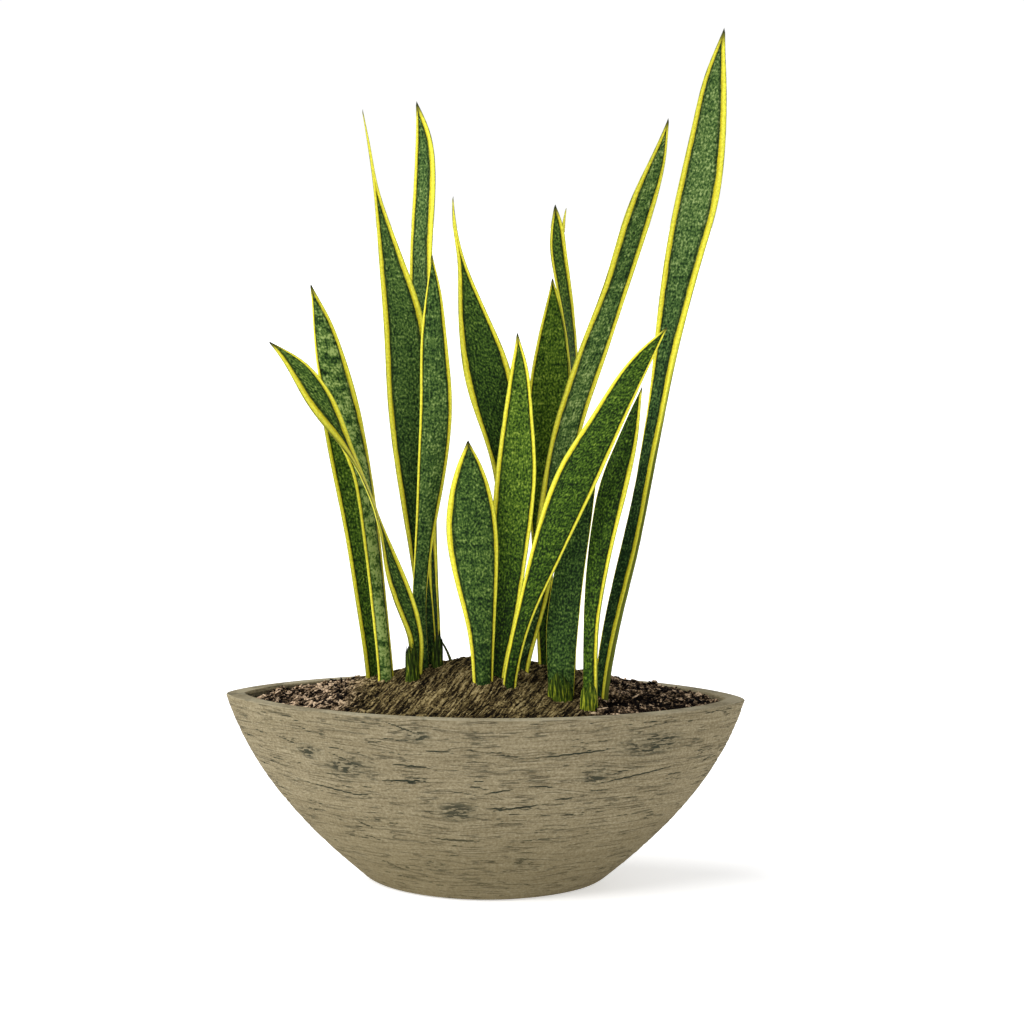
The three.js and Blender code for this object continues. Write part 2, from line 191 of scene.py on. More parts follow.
def noise(tree, vector, scale, detail, roughness, stretch=(1, 1, 1)):
    """Noise from 0 to 1, with its coordinates multiplied by stretch."""
    longer = add_node(tree, "ShaderNodeVectorMath", {0: vector, 1: stretch}, operation="MULTIPLY")
    inputs = {"Vector": longer.outputs[0], "Scale": scale, "Detail": detail, "Roughness": roughness}
    return add_node(tree, "ShaderNodeTexNoise", inputs).outputs["Fac"]


# %% Colours and whole finishes
def colour_stops(tree, factor, stops):
    """A ramp through linear colours, each given with its place from 0 to 1."""
    made = add_node(tree, "ShaderNodeValToRGB", {"Fac": factor})
    elements = made.color_ramp.elements
    while len(elements) < len(stops):
        elements.new(0.5)
    for element, (place, colour) in zip(elements, stops):
        element.position = place
        element.color = (*colour, 1)
    return made.outputs["Color"]


def mix_colours(tree, factor, first, second, mode="MIX"):
    inputs = {0: factor, 6: first, 7: second}
    return add_node(tree, "ShaderNodeMix", inputs, data_type="RGBA", blend_type=mode).outputs[2]


def new_finish(name):
    """A material and its tree of nodes."""
    material = bpy.data.materials.new(name)
    material.use_nodes = True
    return material, material.node_tree


def finish_surface(material, colour, height, depth, roughness, shine):
    """Joins colour, relief and roughness to the shader. depth is the relief's height in metres."""
    tree = material.node_tree
    shader = tree.nodes["Principled BSDF"]
    bump = add_node(tree, "ShaderNodeBump", {"Height": height, "Distance": depth, "Strength": 1.0})
    plug(tree, shader.inputs["Base Color"], colour)
    plug(tree, shader.inputs["Normal"], bump.outputs["Normal"])
    plug(tree, shader.inputs["Roughness"], roughness)
    shader.inputs["Specular IOR Level"].default_value = shine
    print(material.name, len(tree.nodes), "nodes")
    return material


# %% [markdown]
# ## Camera
#
# The plant is looked at from the front, a little from the right and a little from above, through a long
# lens, so the planter's rim shows as a thin curved blade. A camera can be aimed by typing its three
# angles. Here it is aimed at a point instead, because a target and a direction are easier to change.

# %% Camera
CAMERA_AZIMUTH = math.radians(3.6)
CAMERA_ELEVATION = math.radians(7.4)
CAMERA_DISTANCE = 2.6
CAMERA_TARGET = Vector((0.028, 0.0, 0.3746))
LENS = 92.57

towards_camera = Vector((
    math.sin(CAMERA_AZIMUTH) * math.cos(CAMERA_ELEVATION),
    -math.cos(CAMERA_AZIMUTH) * math.cos(CAMERA_ELEVATION),
    math.sin(CAMERA_ELEVATION),
))
camera = bpy.data.objects.new("camera", bpy.data.cameras.new("camera"))
camera.data.lens = LENS
camera.data.clip_end = 50
camera.location = CAMERA_TARGET + towards_camera * CAMERA_DISTANCE
camera.rotation_euler = (-towards_camera).to_track_quat("-Z", "Y").to_euler()
bpy.context.scene.collection.objects.link(camera)
bpy.context.scene.camera = camera
bpy.context.scene.view_settings.view_transform = "Standard"
print("camera at", [round(value, 3) for value in camera.location])

# %% [markdown]
# ## Floor and light
#
# This is a plain white studio table: pale walls all round, a dimmer ceiling, and one broad window light
# from the left that gives the planter and the leaves a lit side and a shaded side. The table could be
# lit white by more lamps, but they would flatten the plant too. So it glows a little from within, as a
# light table does, and the shadow on it stays faint.

# %% Floor
FLOOR_SIZE = 60.0
FLOOR_GLOW = 0.48
floor_finish, floor_tree = new_finish("studio_floor")
floor_shader = floor_tree.nodes["Principled BSDF"]
floor_look = {
    "Base Color": (0.95, 0.95, 0.95), "Roughness": 0.9, "Specular IOR Level": 0.0,
    "Emission Color": (1.0, 1.0, 1.0), "Emission Strength": FLOOR_GLOW,
}
for socket, value in floor_look.items():
    plug(floor_tree, floor_shader.inputs[socket], value)
bpy.ops.mesh.primitive_plane_add(size=FLOOR_SIZE)
floor = bpy.context.object
floor.name = "studio_floor"
floor.data.materials.append(floor_finish)
print("floor", FLOOR_SIZE, "m wide")

# %% Light
AIR_LOW, AIR_HIGH = 1.02, 0.28
CEILING_STARTS, CEILING_ENDS = 0.30, 0.60
world = bpy.data.worlds.new("studio_air")
bpy.context.scene.world = world
world.use_nodes = True
air = world.node_tree
direction = add_node(air, "ShaderNodeTexCoord").outputs["Generated"]
upwards = add_node(air, "ShaderNodeSeparateXYZ", {0: direction}).outputs["Z"]
glow = rescale(air, upwards, CEILING_STARTS, CEILING_ENDS, AIR_LOW, AIR_HIGH)
plug(air, air.nodes["Background"].inputs["Strength"], glow)
plug(air, air.nodes["Background"].inputs["Color"], (1.0, 1.0, 1.0))


def soft_sun(name, azimuth, elevation, spread, strength):
    """A light as wide as a window, at an angle left of the front and an angle up, both in degrees."""
    lamp = bpy.data.objects.new(name, bpy.data.lights.new(name, "SUN"))
    lamp.data.angle = math.radians(spread)
    lamp.data.energy = strength
    turn, rise = math.radians(azimuth), math.radians(elevation)
    place = Vector((-math.sin(turn) * math.cos(rise), -math.cos(turn) * math.cos(rise), math.sin(rise)))
    lamp.rotation_euler = (-place).to_track_quat("-Z", "Y").to_euler()
    bpy.context.scene.collection.objects.link(lamp)
    print(name, "from", [round(value, 2) for value in place])


soft_sun("window_light", azimuth=73, elevation=46, spread=60, strength=3.3)

# %% [markdown]
# ## Reading a leaf from its solid
#
# A leaf's solid is a bent, channelled sword. If we saw through it at one height, the cut is a thin
# crescent: its two ends are the leaf's margins, and how far its middle stands off the line between
# them is how deep the channel is. Cutting at many heights gives the whole leaf, and between the cuts
# we may draw as many points as we like. A subdivided copy of the solid would be quicker, but its
# points would not know how far they are from the margin, and the yellow edges need just that.

# %% Cutting a solid
def triangles_of(node):
    """The solid's triangles as an array of corners."""
    mesh = frame["nodes"][node].data
    mesh.calc_loop_triangles()
    points = np.zeros(len(mesh.vertices) * 3)
    mesh.vertices.foreach_get("co", points)
    corners = np.zeros(len(mesh.loop_triangles) * 3, int)
    mesh.loop_triangles.foreach_get("vertices", corners)
    return points.reshape(-1, 3)[corners].reshape(-1, 3, 3)


def cut_at(triangles, height):
    """The cut's short lines as starts and ends, with the solid on the left of each."""
    after = np.roll(triangles, -1, axis=1)
    above, above_after = triangles[..., 2] >= height, after[..., 2] >= height
    with np.errstate(divide="ignore", invalid="ignore"):
        share = (height - triangles[..., 2]) / (after[..., 2] - triangles[..., 2])
    crossing = triangles + (after - triangles) * np.nan_to_num(share)[..., None]
    rising = ~above & above_after
    falling = above & ~above_after
    crossed = rising.any(1)
    ends = crossing[crossed][rising[crossed]]
    starts = crossing[crossed][falling[crossed]]
    return starts[:, :2], ends[:, :2]


# %% [markdown]
# The solid is faceted, so its cuts jump a little from one to the next. A short blur along the leaf takes
# the jumps out and leaves its bends. Each row then says where the leaf is, how wide, how deeply
# channelled and how thick.

# %% Smoothing and tracing
FIRST_CUT = 0.3 * MM
LAST_CUT = 1.5 * MM
TIP_WIDTH, TIP_THICKNESS = 0.15, 0.3 * MM
# A crescent's deepest spot stands this much further off its chord than its balance point does.
DEPTH_FROM_BALANCE = 1.5


def smoothed(rows, spread):
    """Rows blurred along the first axis, with both ends kept where they are."""
    reach = int(3 * spread)
    padded = np.concatenate([2 * rows[:1] - rows[reach:0:-1], rows, 2 * rows[-1:] - rows[-2:-reach - 2:-1]])
    weights = np.exp(-0.5 * (np.arange(-reach, reach + 1) / spread) ** 2)
    weights /= weights.sum()
    return np.stack([np.convolve(column, weights, "valid") for column in padded.T], -1)


def trace(node, cuts=70, spread=1.6):
    """Rows of a leaf from foot to point: middle x, y, z, half the chord's x, y, channel depth, thickness."""
    triangles = triangles_of(node)
    low, high = triangles[..., 2].min(), triangles[..., 2].max()
    rows = []
    across = np.array([1.0, 0.0])
    for height in np.linspace(low + FIRST_CUT, high - LAST_CUT, cuts):
        starts, ends = cut_at(triangles, height)
        points = np.vstack([starts, ends])
        gaps = np.linalg.norm(points[:, None] - points[None], axis=2)
        one, other = np.unravel_index(gaps.argmax(), gaps.shape)
        chord = points[other] - points[one]
        chord = chord if chord @ across > 0 else -chord
        width = np.linalg.norm(chord)
        across = chord / width
        turned = starts[:, 0] * ends[:, 1] - starts[:, 1] * ends[:, 0]
        area = turned.sum() / 2
        balance = ((starts + ends) * turned[:, None]).sum(0) / (6 * area)
        middle = (points[one] + points[other]) / 2
        depth = DEPTH_FROM_BALANCE * (balance - middle) @ np.array([-across[1], across[0]])
        rows.append([*middle, height, *chord / 2, depth, abs(area) / width])
    tip = triangles.reshape(-1, 3)[triangles[..., 2].argmax()]
    rows = smoothed(np.array(rows), spread)
    return np.vstack([rows, [*tip, *rows[-1, 3:5] * TIP_WIDTH, 0, TIP_THICKNESS]])


# %% [markdown]
# The blade is laid out as a sheet of points: rings from foot to point, and across each ring points that
# crowd towards the margins. The sheet is then thickened to both sides, thickest at the midrib, and its
# margins close in a round edge. Slow ripples and a slight wave of the margins keep it from looking
# pressed. Each point keeps its distance from the margin as a share of the margin's width.

# %% Drawing a blade
ACROSS = 23
LEFT_WAVE, RIGHT_WAVE = 55 * MM, 48 * MM
RIPPLE_CELL = np.array([22, 9, 20]) * MM
# Waves need a blade at least this wide to each side, and start this far above the foot.
ROOM_TO_WAVE = 8 * MM
WAVES_START, WAVES_FADE_IN = 25 * MM, 60 * MM
ROUND_EDGE = 0.1
# The cut's area over its width is a mean thickness, which is this share of the thickness at the midrib.
MEAN_THICKNESS = 0.78


def blade_points(rows, rings, wave, ripple, seed):
    """Front and back points of a blade, and what its finish needs to know about each."""
    steps = np.linalg.norm(np.diff(rows[:, :3], axis=0), axis=1)
    run = np.concatenate([[0], np.cumsum(steps)])
    along = np.linspace(0, run[-1], rings)
    row = np.stack([np.interp(along, run, column) for column in rows.T], -1)
    side = np.sin(np.linspace(-math.pi / 2, math.pi / 2, ACROSS))
    middle, chord = row[:, None, :3], np.pad(row[:, 3:5], ((0, 0), (0, 1)))
    half = np.linalg.norm(chord, axis=1)
    out = np.stack([-chord[:, 1], chord[:, 0], chord[:, 0] * 0], -1) / half[:, None]
    sheet = middle + chord[:, None] * side[None, :, None]
    sheet = sheet + out[:, None] * (row[:, 5, None] * (1 - side**2))[..., None]

    place = np.stack(np.broadcast_arrays(half[:, None] * side, along[:, None], 0.0), -1)
    room = np.clip(half / ROOM_TO_WAVE, 0, 1) * np.clip((along - WAVES_START) / WAVES_FADE_IN, 0, 1)
    left, right = line_noise(along, LEFT_WAVE, seed), line_noise(along, RIGHT_WAVE, seed + 1)
    lift = wave * np.where(side < 0, left[:, None], right[:, None]) * np.abs(side) ** 3
    lift = lift + ripple * grid_noise(place, RIPPLE_CELL, seed + 2)
    sheet = sheet + out[:, None] * (lift * room[:, None])[..., None]

    facing = np.cross(np.gradient(sheet, axis=1), np.gradient(sheet, axis=0))
    facing /= np.linalg.norm(facing, axis=2, keepdims=True) + 1e-12
    edge = np.clip((1 - np.abs(side)) / ROUND_EDGE, 0, 1)
    body = (1 - 0.5 * side**2) * np.sqrt(1 - (1 - edge) ** 2)
    thick = np.minimum(row[:, 6] / MEAN_THICKNESS, half)[:, None] * body
    front = sheet + facing * thick[..., None] / 2
    back = sheet - facing * thick[..., None] / 2
    return front, back, place, half, along


def loop_round(front, back):
    """Points of both faces in one ring per row. The margins' points belong to both faces."""
    return np.concatenate([front, back[:, -2:0:-1]], axis=1)


# %% [markdown]
# ## Leaf finish
#
# A snake plant leaf is waxy and stiff. Its middle is dark green, speckled and crossed by uneven pale
# bands. Its margins are yellow, with a thin olive line at the very edge and a dark line where the
# yellow stops. Low down, the outer part of an old margin turns olive, and the leaf's point is dry and
# dark. A painted picture could show all this on one leaf. But it depends only on where a spot lies on
# its leaf, so the finish reads the numbers kept with the points and fits all sixteen.

# %% The green of a leaf
COOL_GREENS = [
    (0.0, (0.006, 0.018, 0.006)), (0.25, (0.020, 0.052, 0.016)), (0.5, (0.056, 0.110, 0.034)),
    (0.75, (0.130, 0.205, 0.072)), (1.0, (0.310, 0.400, 0.185))]
WARM_GREENS = [
    (0.0, (0.004, 0.011, 0.002)), (0.25, (0.017, 0.042, 0.004)), (0.5, (0.050, 0.100, 0.009)),
    (0.75, (0.120, 0.192, 0.020)), (1.0, (0.270, 0.350, 0.055))]


def leaf_green(tree, spot, grains, streaks):
    """Fine grains and long streaks on every leaf, with bands and patches as strong as its mottle."""
    mottle = stored(tree, "mottle")
    bands = noise(tree, spot, 1, 3, 0.6, (26, 130, 1))
    patches = noise(tree, spot, 120, 3, 0.65, (1, 0.7, 1))
    tone = arithmetic(tree, "ADD", stored(tree, "lightness"), centred(tree, grains, 1.75))
    tone = arithmetic(tree, "MULTIPLY_ADD", centred(tree, bands, 1.5), mottle, tone)
    tone = arithmetic(tree, "ADD", tone, centred(tree, streaks, 0.45))
    tone = arithmetic(tree, "MULTIPLY_ADD", centred(tree, patches, 1.9), mottle, tone)
    cool = colour_stops(tree, tone, COOL_GREENS)
    warm = colour_stops(tree, tone, WARM_GREENS)
    return mix_colours(tree, stored(tree, "warmth"), cool, warm)


# %% The yellow of its margins
MARGIN_YELLOWS = [
    (0.0, (0.13, 0.14, 0.020)), (0.06, (0.40, 0.40, 0.030)), (0.22, (0.74, 0.70, 0.055)),
    (0.50, (0.80, 0.76, 0.075)), (0.74, (0.62, 0.54, 0.025)), (0.90, (0.48, 0.40, 0.014)),
    (1.0, (0.20, 0.21, 0.012))]
OLD_MARGIN = (0.105, 0.125, 0.018)


def leaf_yellow(tree, margin, grains, streaks):
    """From the olive edge, over clear yellow, to the dark line where it stops."""
    streaked = arithmetic(tree, "ADD", margin, centred(tree, streaks, 0.45))
    shade = rescale(tree, grains, 0.3, 0.7, 0.80, 1.06)
    shade = add_node(tree, "ShaderNodeCombineColor", {0: shade, 1: shade, 2: shade}).outputs[0]
    yellow = mix_colours(tree, 1.0, colour_stops(tree, streaked, MARGIN_YELLOWS), shade, "MULTIPLY")
    outer = rescale(tree, margin, 0.28, 0.44, 1, 0)
    return mix_colours(tree, arithmetic(tree, "MULTIPLY", outer, stored(tree, "oldness")), yellow, OLD_MARGIN)


# %% The whole leaf finish
GREEN_BESIDE_MARGIN = (0.005, 0.011, 0.002)
DRY_POINT = (0.020, 0.026, 0.009)


def leaf_finish():
    material, tree = new_finish("leaf_green_and_yellow")
    spot = stored(tree, "place_on_leaf", "Vector")
    margin = stored(tree, "margin_share")
    grains = noise(tree, spot, 520, 1, 0.5, (1, 0.7, 1))
    streaks = noise(tree, spot, 1, 2, 0.6, (800, 26, 1))
    wobble = noise(tree, spot, 1, 3, 0.6, (160, 70, 1))
    share = arithmetic(tree, "ADD", margin, centred(tree, wobble, 0.5))

    fading = rescale(tree, share, 1.1, 1.7, 0.75, 0)
    beside = arithmetic(tree, "MULTIPLY", rescale(tree, share, 0.96, 1.08), fading)
    green = mix_colours(tree, beside, leaf_green(tree, spot, grains, streaks), GREEN_BESIDE_MARGIN)
    yellow = leaf_yellow(tree, margin, grains, streaks)
    colour = mix_colours(tree, rescale(tree, share, 0.90, 1.08), yellow, green)
    colour = mix_colours(tree, stored(tree, "dryness"), colour, DRY_POINT)

    relief = arithmetic(tree, "MULTIPLY_ADD", streaks, 0.4, grains)
    gloss = rescale(tree, grains, 0.3, 0.7, 0.42, 0.62)
    return finish_surface(material, colour, relief, 0.7 * MM, gloss, 0.05)


leaf_material = leaf_finish()

# %% [markdown]
# Young, shaded and old leaves differ, so each has a row in this table: how light its green is at five
# places from foot to point, how warm it is, from 0 for blue-green to 1 for olive, how blotchy it is, how
# wide its left and right margins are in millimetres, and how long its dry point is. Low down the green
# is darker: partly the leaf's own colour, partly painted shade where the leaves crowd at their feet.

# %% How the leaves differ
LEAF_LOOKS = {
    "left_fan_leaf_1": ((0.32, 0.36, 0.40, 0.44, 0.44), 0.95, 0.3, (3.2, 2.4), 14),
    "left_fan_leaf_2": ((0.80, 0.84, 0.74, 0.62, 0.50), 0.55, 1.1, (2.4, 4.4), 16),
    "mid_left_fan_leaf_1": ((0.38, 0.38, 0.44, 0.48, 0.50), 0.70, 0.3, (4.4, 3.2), 14),
    "mid_left_fan_leaf_2": ((0.26, 0.38, 0.50, 0.44, 0.40), 0.50, 0.5, (2.0, 3.2), 12),
    "mid_left_fan_leaf_3": ((0.12, 0.22, 0.40, 0.48, 0.44), 0.55, 0.3, (4.2, 5.2), 7),
    "mid_left_fan_leaf_4": ((0.12, 0.24, 0.38, 0.53, 0.46), 0.40, 0.3, (3.2, 6.6), 16),
    "centre_fan_leaf_1": ((0.28, 0.34, 0.44, 0.40, 0.38), 0.60, 0.5, (4.6, 3.6), 12),
    "centre_fan_leaf_2": ((0.10, 0.22, 0.47, 0.50, 0.44), 1.00, 0.4, (3.6, 3.0), 12),
    "centre_fan_leaf_3": ((0.16, 0.28, 0.34, 0.34, 0.38), 1.00, 0.4, (4.6, 2.6), 10),
    "centre_fan_leaf_4": ((0.20, 0.42, 0.62, 0.46, 0.62), 0.45, 0.7, (5.0, 3.6), 14),
    "centre_fan_leaf_5": ((0.04, 0.12, 0.24, 0.36, 0.42), 0.80, 0.3, (5.0, 4.2), 6),
    "mid_right_fan_leaf_1": ((0.46, 0.28, 0.24, 0.22, 0.22), 0.60, 0.3, (0.5, 0.6), 10),
    "mid_right_fan_leaf_2": ((0.18, 0.28, 0.44, 0.52, 0.50), 1.00, 0.4, (2.6, 2.8), 10),
    "mid_right_fan_leaf_3": ((0.26, 0.30, 0.38, 0.46, 0.46), 0.85, 0.3, (2.6, 4.0), 14),
    "right_fan_leaf_1": ((0.42, 0.32, 0.26, 0.24, 0.24), 1.00, 0.4, (0.9, 3.2), 8),
    "right_fan_leaf_2": ((0.14, 0.12, 0.28, 0.62, 0.56), 0.35, 0.4, (4.6, 5.6), 18),
}
TONE_PLACES = (0.03, 0.25, 0.5, 0.75, 0.97)
TWISTED_LEAF = "mid_left_fan_leaf_1"
GREEN_EDGED_LEAF = "right_fan_leaf_2"
GREEN_FOOTED_LEAVES = ["mid_left_fan_leaf_2", "mid_left_fan_leaf_3", "mid_left_fan_leaf_4"]
OLD_MARGINS = {
    "right_fan_leaf_2": 1.0, "right_fan_leaf_1": 0.75, "centre_fan_leaf_3": 0.6, "left_fan_leaf_1": 0.6,
}
print("leaves:", len(LEAF_LOOKS))

# %% [markdown]
# A margin narrows with its leaf and swells a little here and there. Three kinds of leaf need more. The
# twisted leaf turns edge-on at its neck and shows little but margin there. A leaf that is folded low
# down shows a broad margin on one side and next to none on the other. And where a fan's leaves are
# pressed together, their margins stay green down to the soil.

# %% Margins
MARGIN_GROWTH = 1.22
MARGIN_SWELLING, SWELLING_CELL = 0.22, 60 * MM
NECK_GROWTH, NECK_ABOVE, NECK_REACH = 2.4, 32 * MM, 50 * MM
LOW_PART, LOW_FADE = 0.60, 0.22
FOLD_GROWTH, FOLD_LOSS = 0.65, 0.85
GREEN_FOOT, GREEN_FOOT_FADE, GREEN_FOOT_LOSS = 150 * MM, 70 * MM, 0.8


def margin_widths(node, rows, front, place, half, along, seed):
    """The margin's width and how old it is, for each point of the sheet."""
    to_right = place[..., 0] > 0
    widest = np.where(place[..., 0] < 0, *LEAF_LOOKS[node][3]) * MM
    margin = MARGIN_GROWTH * widest * (0.45 + 0.55 * half / half.max())[:, None]
    margin = margin * (1 + MARGIN_SWELLING * line_noise(along, SWELLING_CELL, seed + 5)[:, None])
    if node == TWISTED_LEAF:
        inner = rows[len(rows) // 4:3 * len(rows) // 4]
        neck = inner[np.abs(inner[:, 3]).argmin(), 2]
        print("turned edge-on at height", round(neck, 3))
        climb = front[:, ACROSS // 2, 2] - neck - NECK_ABOVE
        margin = margin * (1 + NECK_GROWTH * np.exp(-((climb / NECK_REACH) ** 2)))[:, None]
    low = np.clip((LOW_PART - along / along[-1]) / LOW_FADE, 0, 1)[:, None]
    if node == GREEN_EDGED_LEAF:
        margin = margin * np.where(to_right, 1 + FOLD_GROWTH * low, 1 - FOLD_LOSS * low)
    if node in GREEN_FOOTED_LEAVES:
        foot = np.clip((GREEN_FOOT - along) / GREEN_FOOT_FADE, 0, 1)[:, None]
        margin = margin * (1 - GREEN_FOOT_LOSS * foot)
    return margin, to_right * low * OLD_MARGINS.get(node, 0)


# %% [markdown]
# ## Leaves
#
# Now each leaf can be drawn: trace its solid, lay out the blade, join front and back into one closed
# skin, and keep with each point what the finish reads. A blade could also be a flat sheet made thick by
# a modifier, but then its margins would be square.

# %% The sixteen leaves
LEAF_RINGS = 150
WAVE, RIPPLE = 0.7 * MM, 0.22 * MM
ROWS_IN_SOIL = 3
feet = []


def around(values):
    """A value for each point of the sheet, given to the front and the back of the blade."""
    return loop_round(*[values[..., None]] * 2)[..., 0].ravel()


def skin(name, front, back, stands_for=None):
    """A blade as one closed piece."""
    points = loop_round(front, back)
    faces = tube_faces(*points.shape[:2])
    return make_piece(name, points.reshape(-1, 3), faces, leaf_material, stands_for)


def draw_leaf(node, number):
    tones, warmth, mottle, _, dry = LEAF_LOOKS[node]
    rows = trace(node)
    feet.append(rows[ROWS_IN_SOIL, [0, 1, 3, 4]])
    front, back, place, half, along = blade_points(rows, LEAF_RINGS, WAVE, RIPPLE, 10 * number)
    leaf = skin(node + "_blade", front, back, node)
    margin, oldness = margin_widths(node, rows, front, place, half, along, 10 * number)
    flat = np.zeros_like(margin)
    point = np.clip(1.15 - (along[-1] - along) / (dry * MM), 0, 1)
    store(
        leaf,
        margin_share=around((half[:, None] - np.abs(place[..., 0])) / margin),
        oldness=around(oldness),
        # lightness along the leaf; its low values near the feet are partly painted shade
        lightness=around(flat + np.interp(along / along[-1], TONE_PLACES, tones)[:, None]),
        warmth=around(flat + warmth),
        mottle=around(flat + mottle),
        dryness=around(flat + (point * point * (3 - 2 * point))[:, None]),
        place_on_leaf=loop_round(place + [0, 0, number], place + [0, 0, number + 0.5]).reshape(-1, 3),
    )


for number, node in enumerate(LEAF_LOOKS):
    draw_leaf(node, number)

# %% [markdown]
# One leaf is torn at its point: a thin strip of its right margin has come loose and leans away. It
# could be cut out of the leaf's mesh, but it is easier as a narrow blade of its own that starts on the
# margin, so it gets rows like those of a leaf.

# %% The torn strip
STRIP_START = 27 * MM
STRIP_END = (10.5 * MM, -3.5 * MM)
STRIP_HALF_WIDTH = 1.9 * MM
STRIP_INSET = 1.4 * MM
STRIP_THICKNESS = 1.1 * MM
STRIP_ROWS, STRIP_RINGS = 24, 40


def draw_strip(node):
    rows = trace(node)
    tip = rows[-1]
    start = np.array([np.interp(tip[2] - STRIP_START, rows[:, 2], column) for column in rows.T])
    aside = start[3:5] / np.linalg.norm(start[3:5])
    climb = np.linspace(0, 1, STRIP_ROWS)
    half = STRIP_HALF_WIDTH * (1 - climb) ** 0.6 + 0.12 * MM
    first_x = start[0] + start[3] - STRIP_INSET
    x = first_x + (tip[0] + STRIP_END[0] - first_x) * climb**1.6
    y = start[1] + start[4] + 2 * MM * climb
    z = start[2] + (tip[2] + STRIP_END[1] - start[2]) * climb
    thick = STRIP_THICKNESS * (1 - 0.6 * climb)
    strip_rows = np.column_stack([x, y, z, half * aside[0], half * aside[1], 0 * z, thick])
    front, back, place, half, along = blade_points(strip_rows, STRIP_RINGS, 0, 0, 300)
    strip = skin(node + "_torn_strip", front, back)
    flat = np.zeros_like(place[..., 0])
    store(
        strip,
        margin_share=around(0.5 + 0.55 * place[..., 0] / half[:, None]),
        lightness=around(flat + 0.3),
        warmth=around(flat + 0.9),
        mottle=around(flat),
        oldness=around(flat),
        dryness=around(flat + (np.clip(along / along[-1] - 0.75, 0, 1) * 2)[:, None]),
        place_on_leaf=loop_round(place, place + [0, 0, 0.4]).reshape(-1, 3),
    )


draw_strip("mid_right_fan_leaf_3")

# %% [markdown]
# ## Sheaths
#
# Round the feet of some leaves sit short fibrous sheaths, torn at the top. Their fibres could be thin
# separate strands, but they lie so close that long narrow noise along the sheath looks the same. The
# young side shoot is fibrous too, so it shares the recipe, in plainer colours.

# %% Fibrous finish
def fibre_finish(name, *colours):
    material, tree = new_finish(name)
    spot = stored(tree, "place_on_leaf", "Vector")
    fibres = noise(tree, spot, 1, 3, 0.6, (620, 55, 1))
    blotches = noise(tree, spot, 160, 3, 0.6)
    tone = arithmetic(tree, "ADD", centred(tree, fibres, 2.3), centred(tree, blotches, 0.6))
    tone = arithmetic(tree, "ADD", tone, stored(tree, "lightness"))
    colour = colour_stops(tree, tone, list(zip((0.12, 0.5, 0.95), colours)))
    return finish_surface(material, colour, fibres, 0.6 * MM, 0.6, 0.05)


sheath_material = fibre_finish(
    "fibrous_sheath", (0.006, 0.012, 0.002), (0.050, 0.085, 0.007), (0.42, 0.44, 0.03))
shoot_material = fibre_finish("young_shoot", (0.02, 0.03, 0.01), (0.07, 0.09, 0.02), (0.16, 0.18, 0.06))

# %% [markdown]
# A sheath is drawn like a leaf, but each column of its points stops at a height of its own, which makes
# the torn edge. Each has its own lightness: the further to the front a sheath stands, the brighter it
# is.

# %% Sheaths
SHEATHS = {
    "mid_left_fan_sheath_1": 0.54, "mid_left_fan_sheath_2": 0.46,
    "mid_right_fan_sheath_1": 0.66, "right_fan_sheath_1": 0.78,
}
SHEATH_CUTS, SHEATH_RINGS = 40, 44
SHEATH_RIPPLE = 0.25 * MM
TEAR, TEAR_CELL = 0.45, 1.7
DARKER_TOP = 0.45


def draw_sheath(node, number):
    rows = trace(node, SHEATH_CUTS)
    front, back, place, half, along = blade_points(rows, SHEATH_RINGS, 0, SHEATH_RIPPLE, 200 + number)
    stop = 1 - TEAR * (0.5 + 0.5 * line_noise(np.arange(ACROSS), TEAR_CELL, 60 + number))
    level = np.arange(SHEATH_RINGS)
    for column in range(ACROSS):
        for sheet in (front, back, place):
            stretched = [np.interp(level * stop[column], level, axis) for axis in sheet[:, column].T]
            sheet[:, column] = np.stack(stretched, -1)
    points = loop_round(front, back)
    rings, sides = points.shape[:2]
    faces = tube_faces(rings, sides, top=False)
    start = (rings - 1) * sides
    for column in range(ACROSS - 1):
        near, far = start + column, start + column + 1
        across_near, across_far = start + (sides - column) % sides, start + sides - column - 1
        faces.append(list(dict.fromkeys((near, far, across_far, across_near))))
    sheath = make_piece(node + "_fibres", points.reshape(-1, 3), faces, sheath_material, node)
    store(
        sheath,
        place_on_leaf=loop_round(place, place + [0, 0, 0.3]).reshape(-1, 3),
        lightness=around(SHEATHS[node] - DARKER_TOP * place[..., 1] / along[-1]),
    )


for number, node in enumerate(SHEATHS):
    draw_sheath(node, number)

# %% [markdown]
# ## Side shoot
#
# A young runner leaves one foot and bends down into the soil. A curve with a bevel would draw it too,
# but rings of points round the middle of each cut keep it exactly where its solid is, and they swell
# and narrow as a grown thing does.

# %% Side shoot
SHOOT_RINGS, SHOOT_SIDES = 26, 16
SHOOT_SWELLING, SHOOT_CELL = 0.12, 6 * MM


def draw_shoot(node):
    triangles = triangles_of(node)
    low, high = triangles[..., 2].min(), triangles[..., 2].max()
    rows = []
    for height in np.linspace(low + 0.4 * MM, high - 0.3 * MM, SHOOT_RINGS):
        starts, ends = cut_at(triangles, height)
        rows.append([*(starts.mean(0)), height, np.ptp(starts[:, 1]) / 2])
    rows = np.array(rows)
    turn = np.arange(SHOOT_SIDES) * 2 * math.pi / SHOOT_SIDES
    circle = np.stack([np.cos(turn), np.sin(turn), 0 * turn], -1)
    radius = rows[:, 3] * (1 + SHOOT_SWELLING * line_noise(rows[:, 2], SHOOT_CELL, 4))
    points = rows[:, None, :3] + circle * radius[:, None, None]
    faces = tube_faces(SHOOT_RINGS, SHOOT_SIDES)
    shoot = make_piece(node + "_runner", points.reshape(-1, 3), faces, shoot_material, node)
    place = np.stack(np.broadcast_arrays(turn * 2 * MM, rows[:, 2, None], 0.0), -1)
    store(shoot, place_on_leaf=place.reshape(-1, 3), lightness=np.full(SHOOT_RINGS * SHOOT_SIDES, 0.45))


draw_shoot("side_shoot")

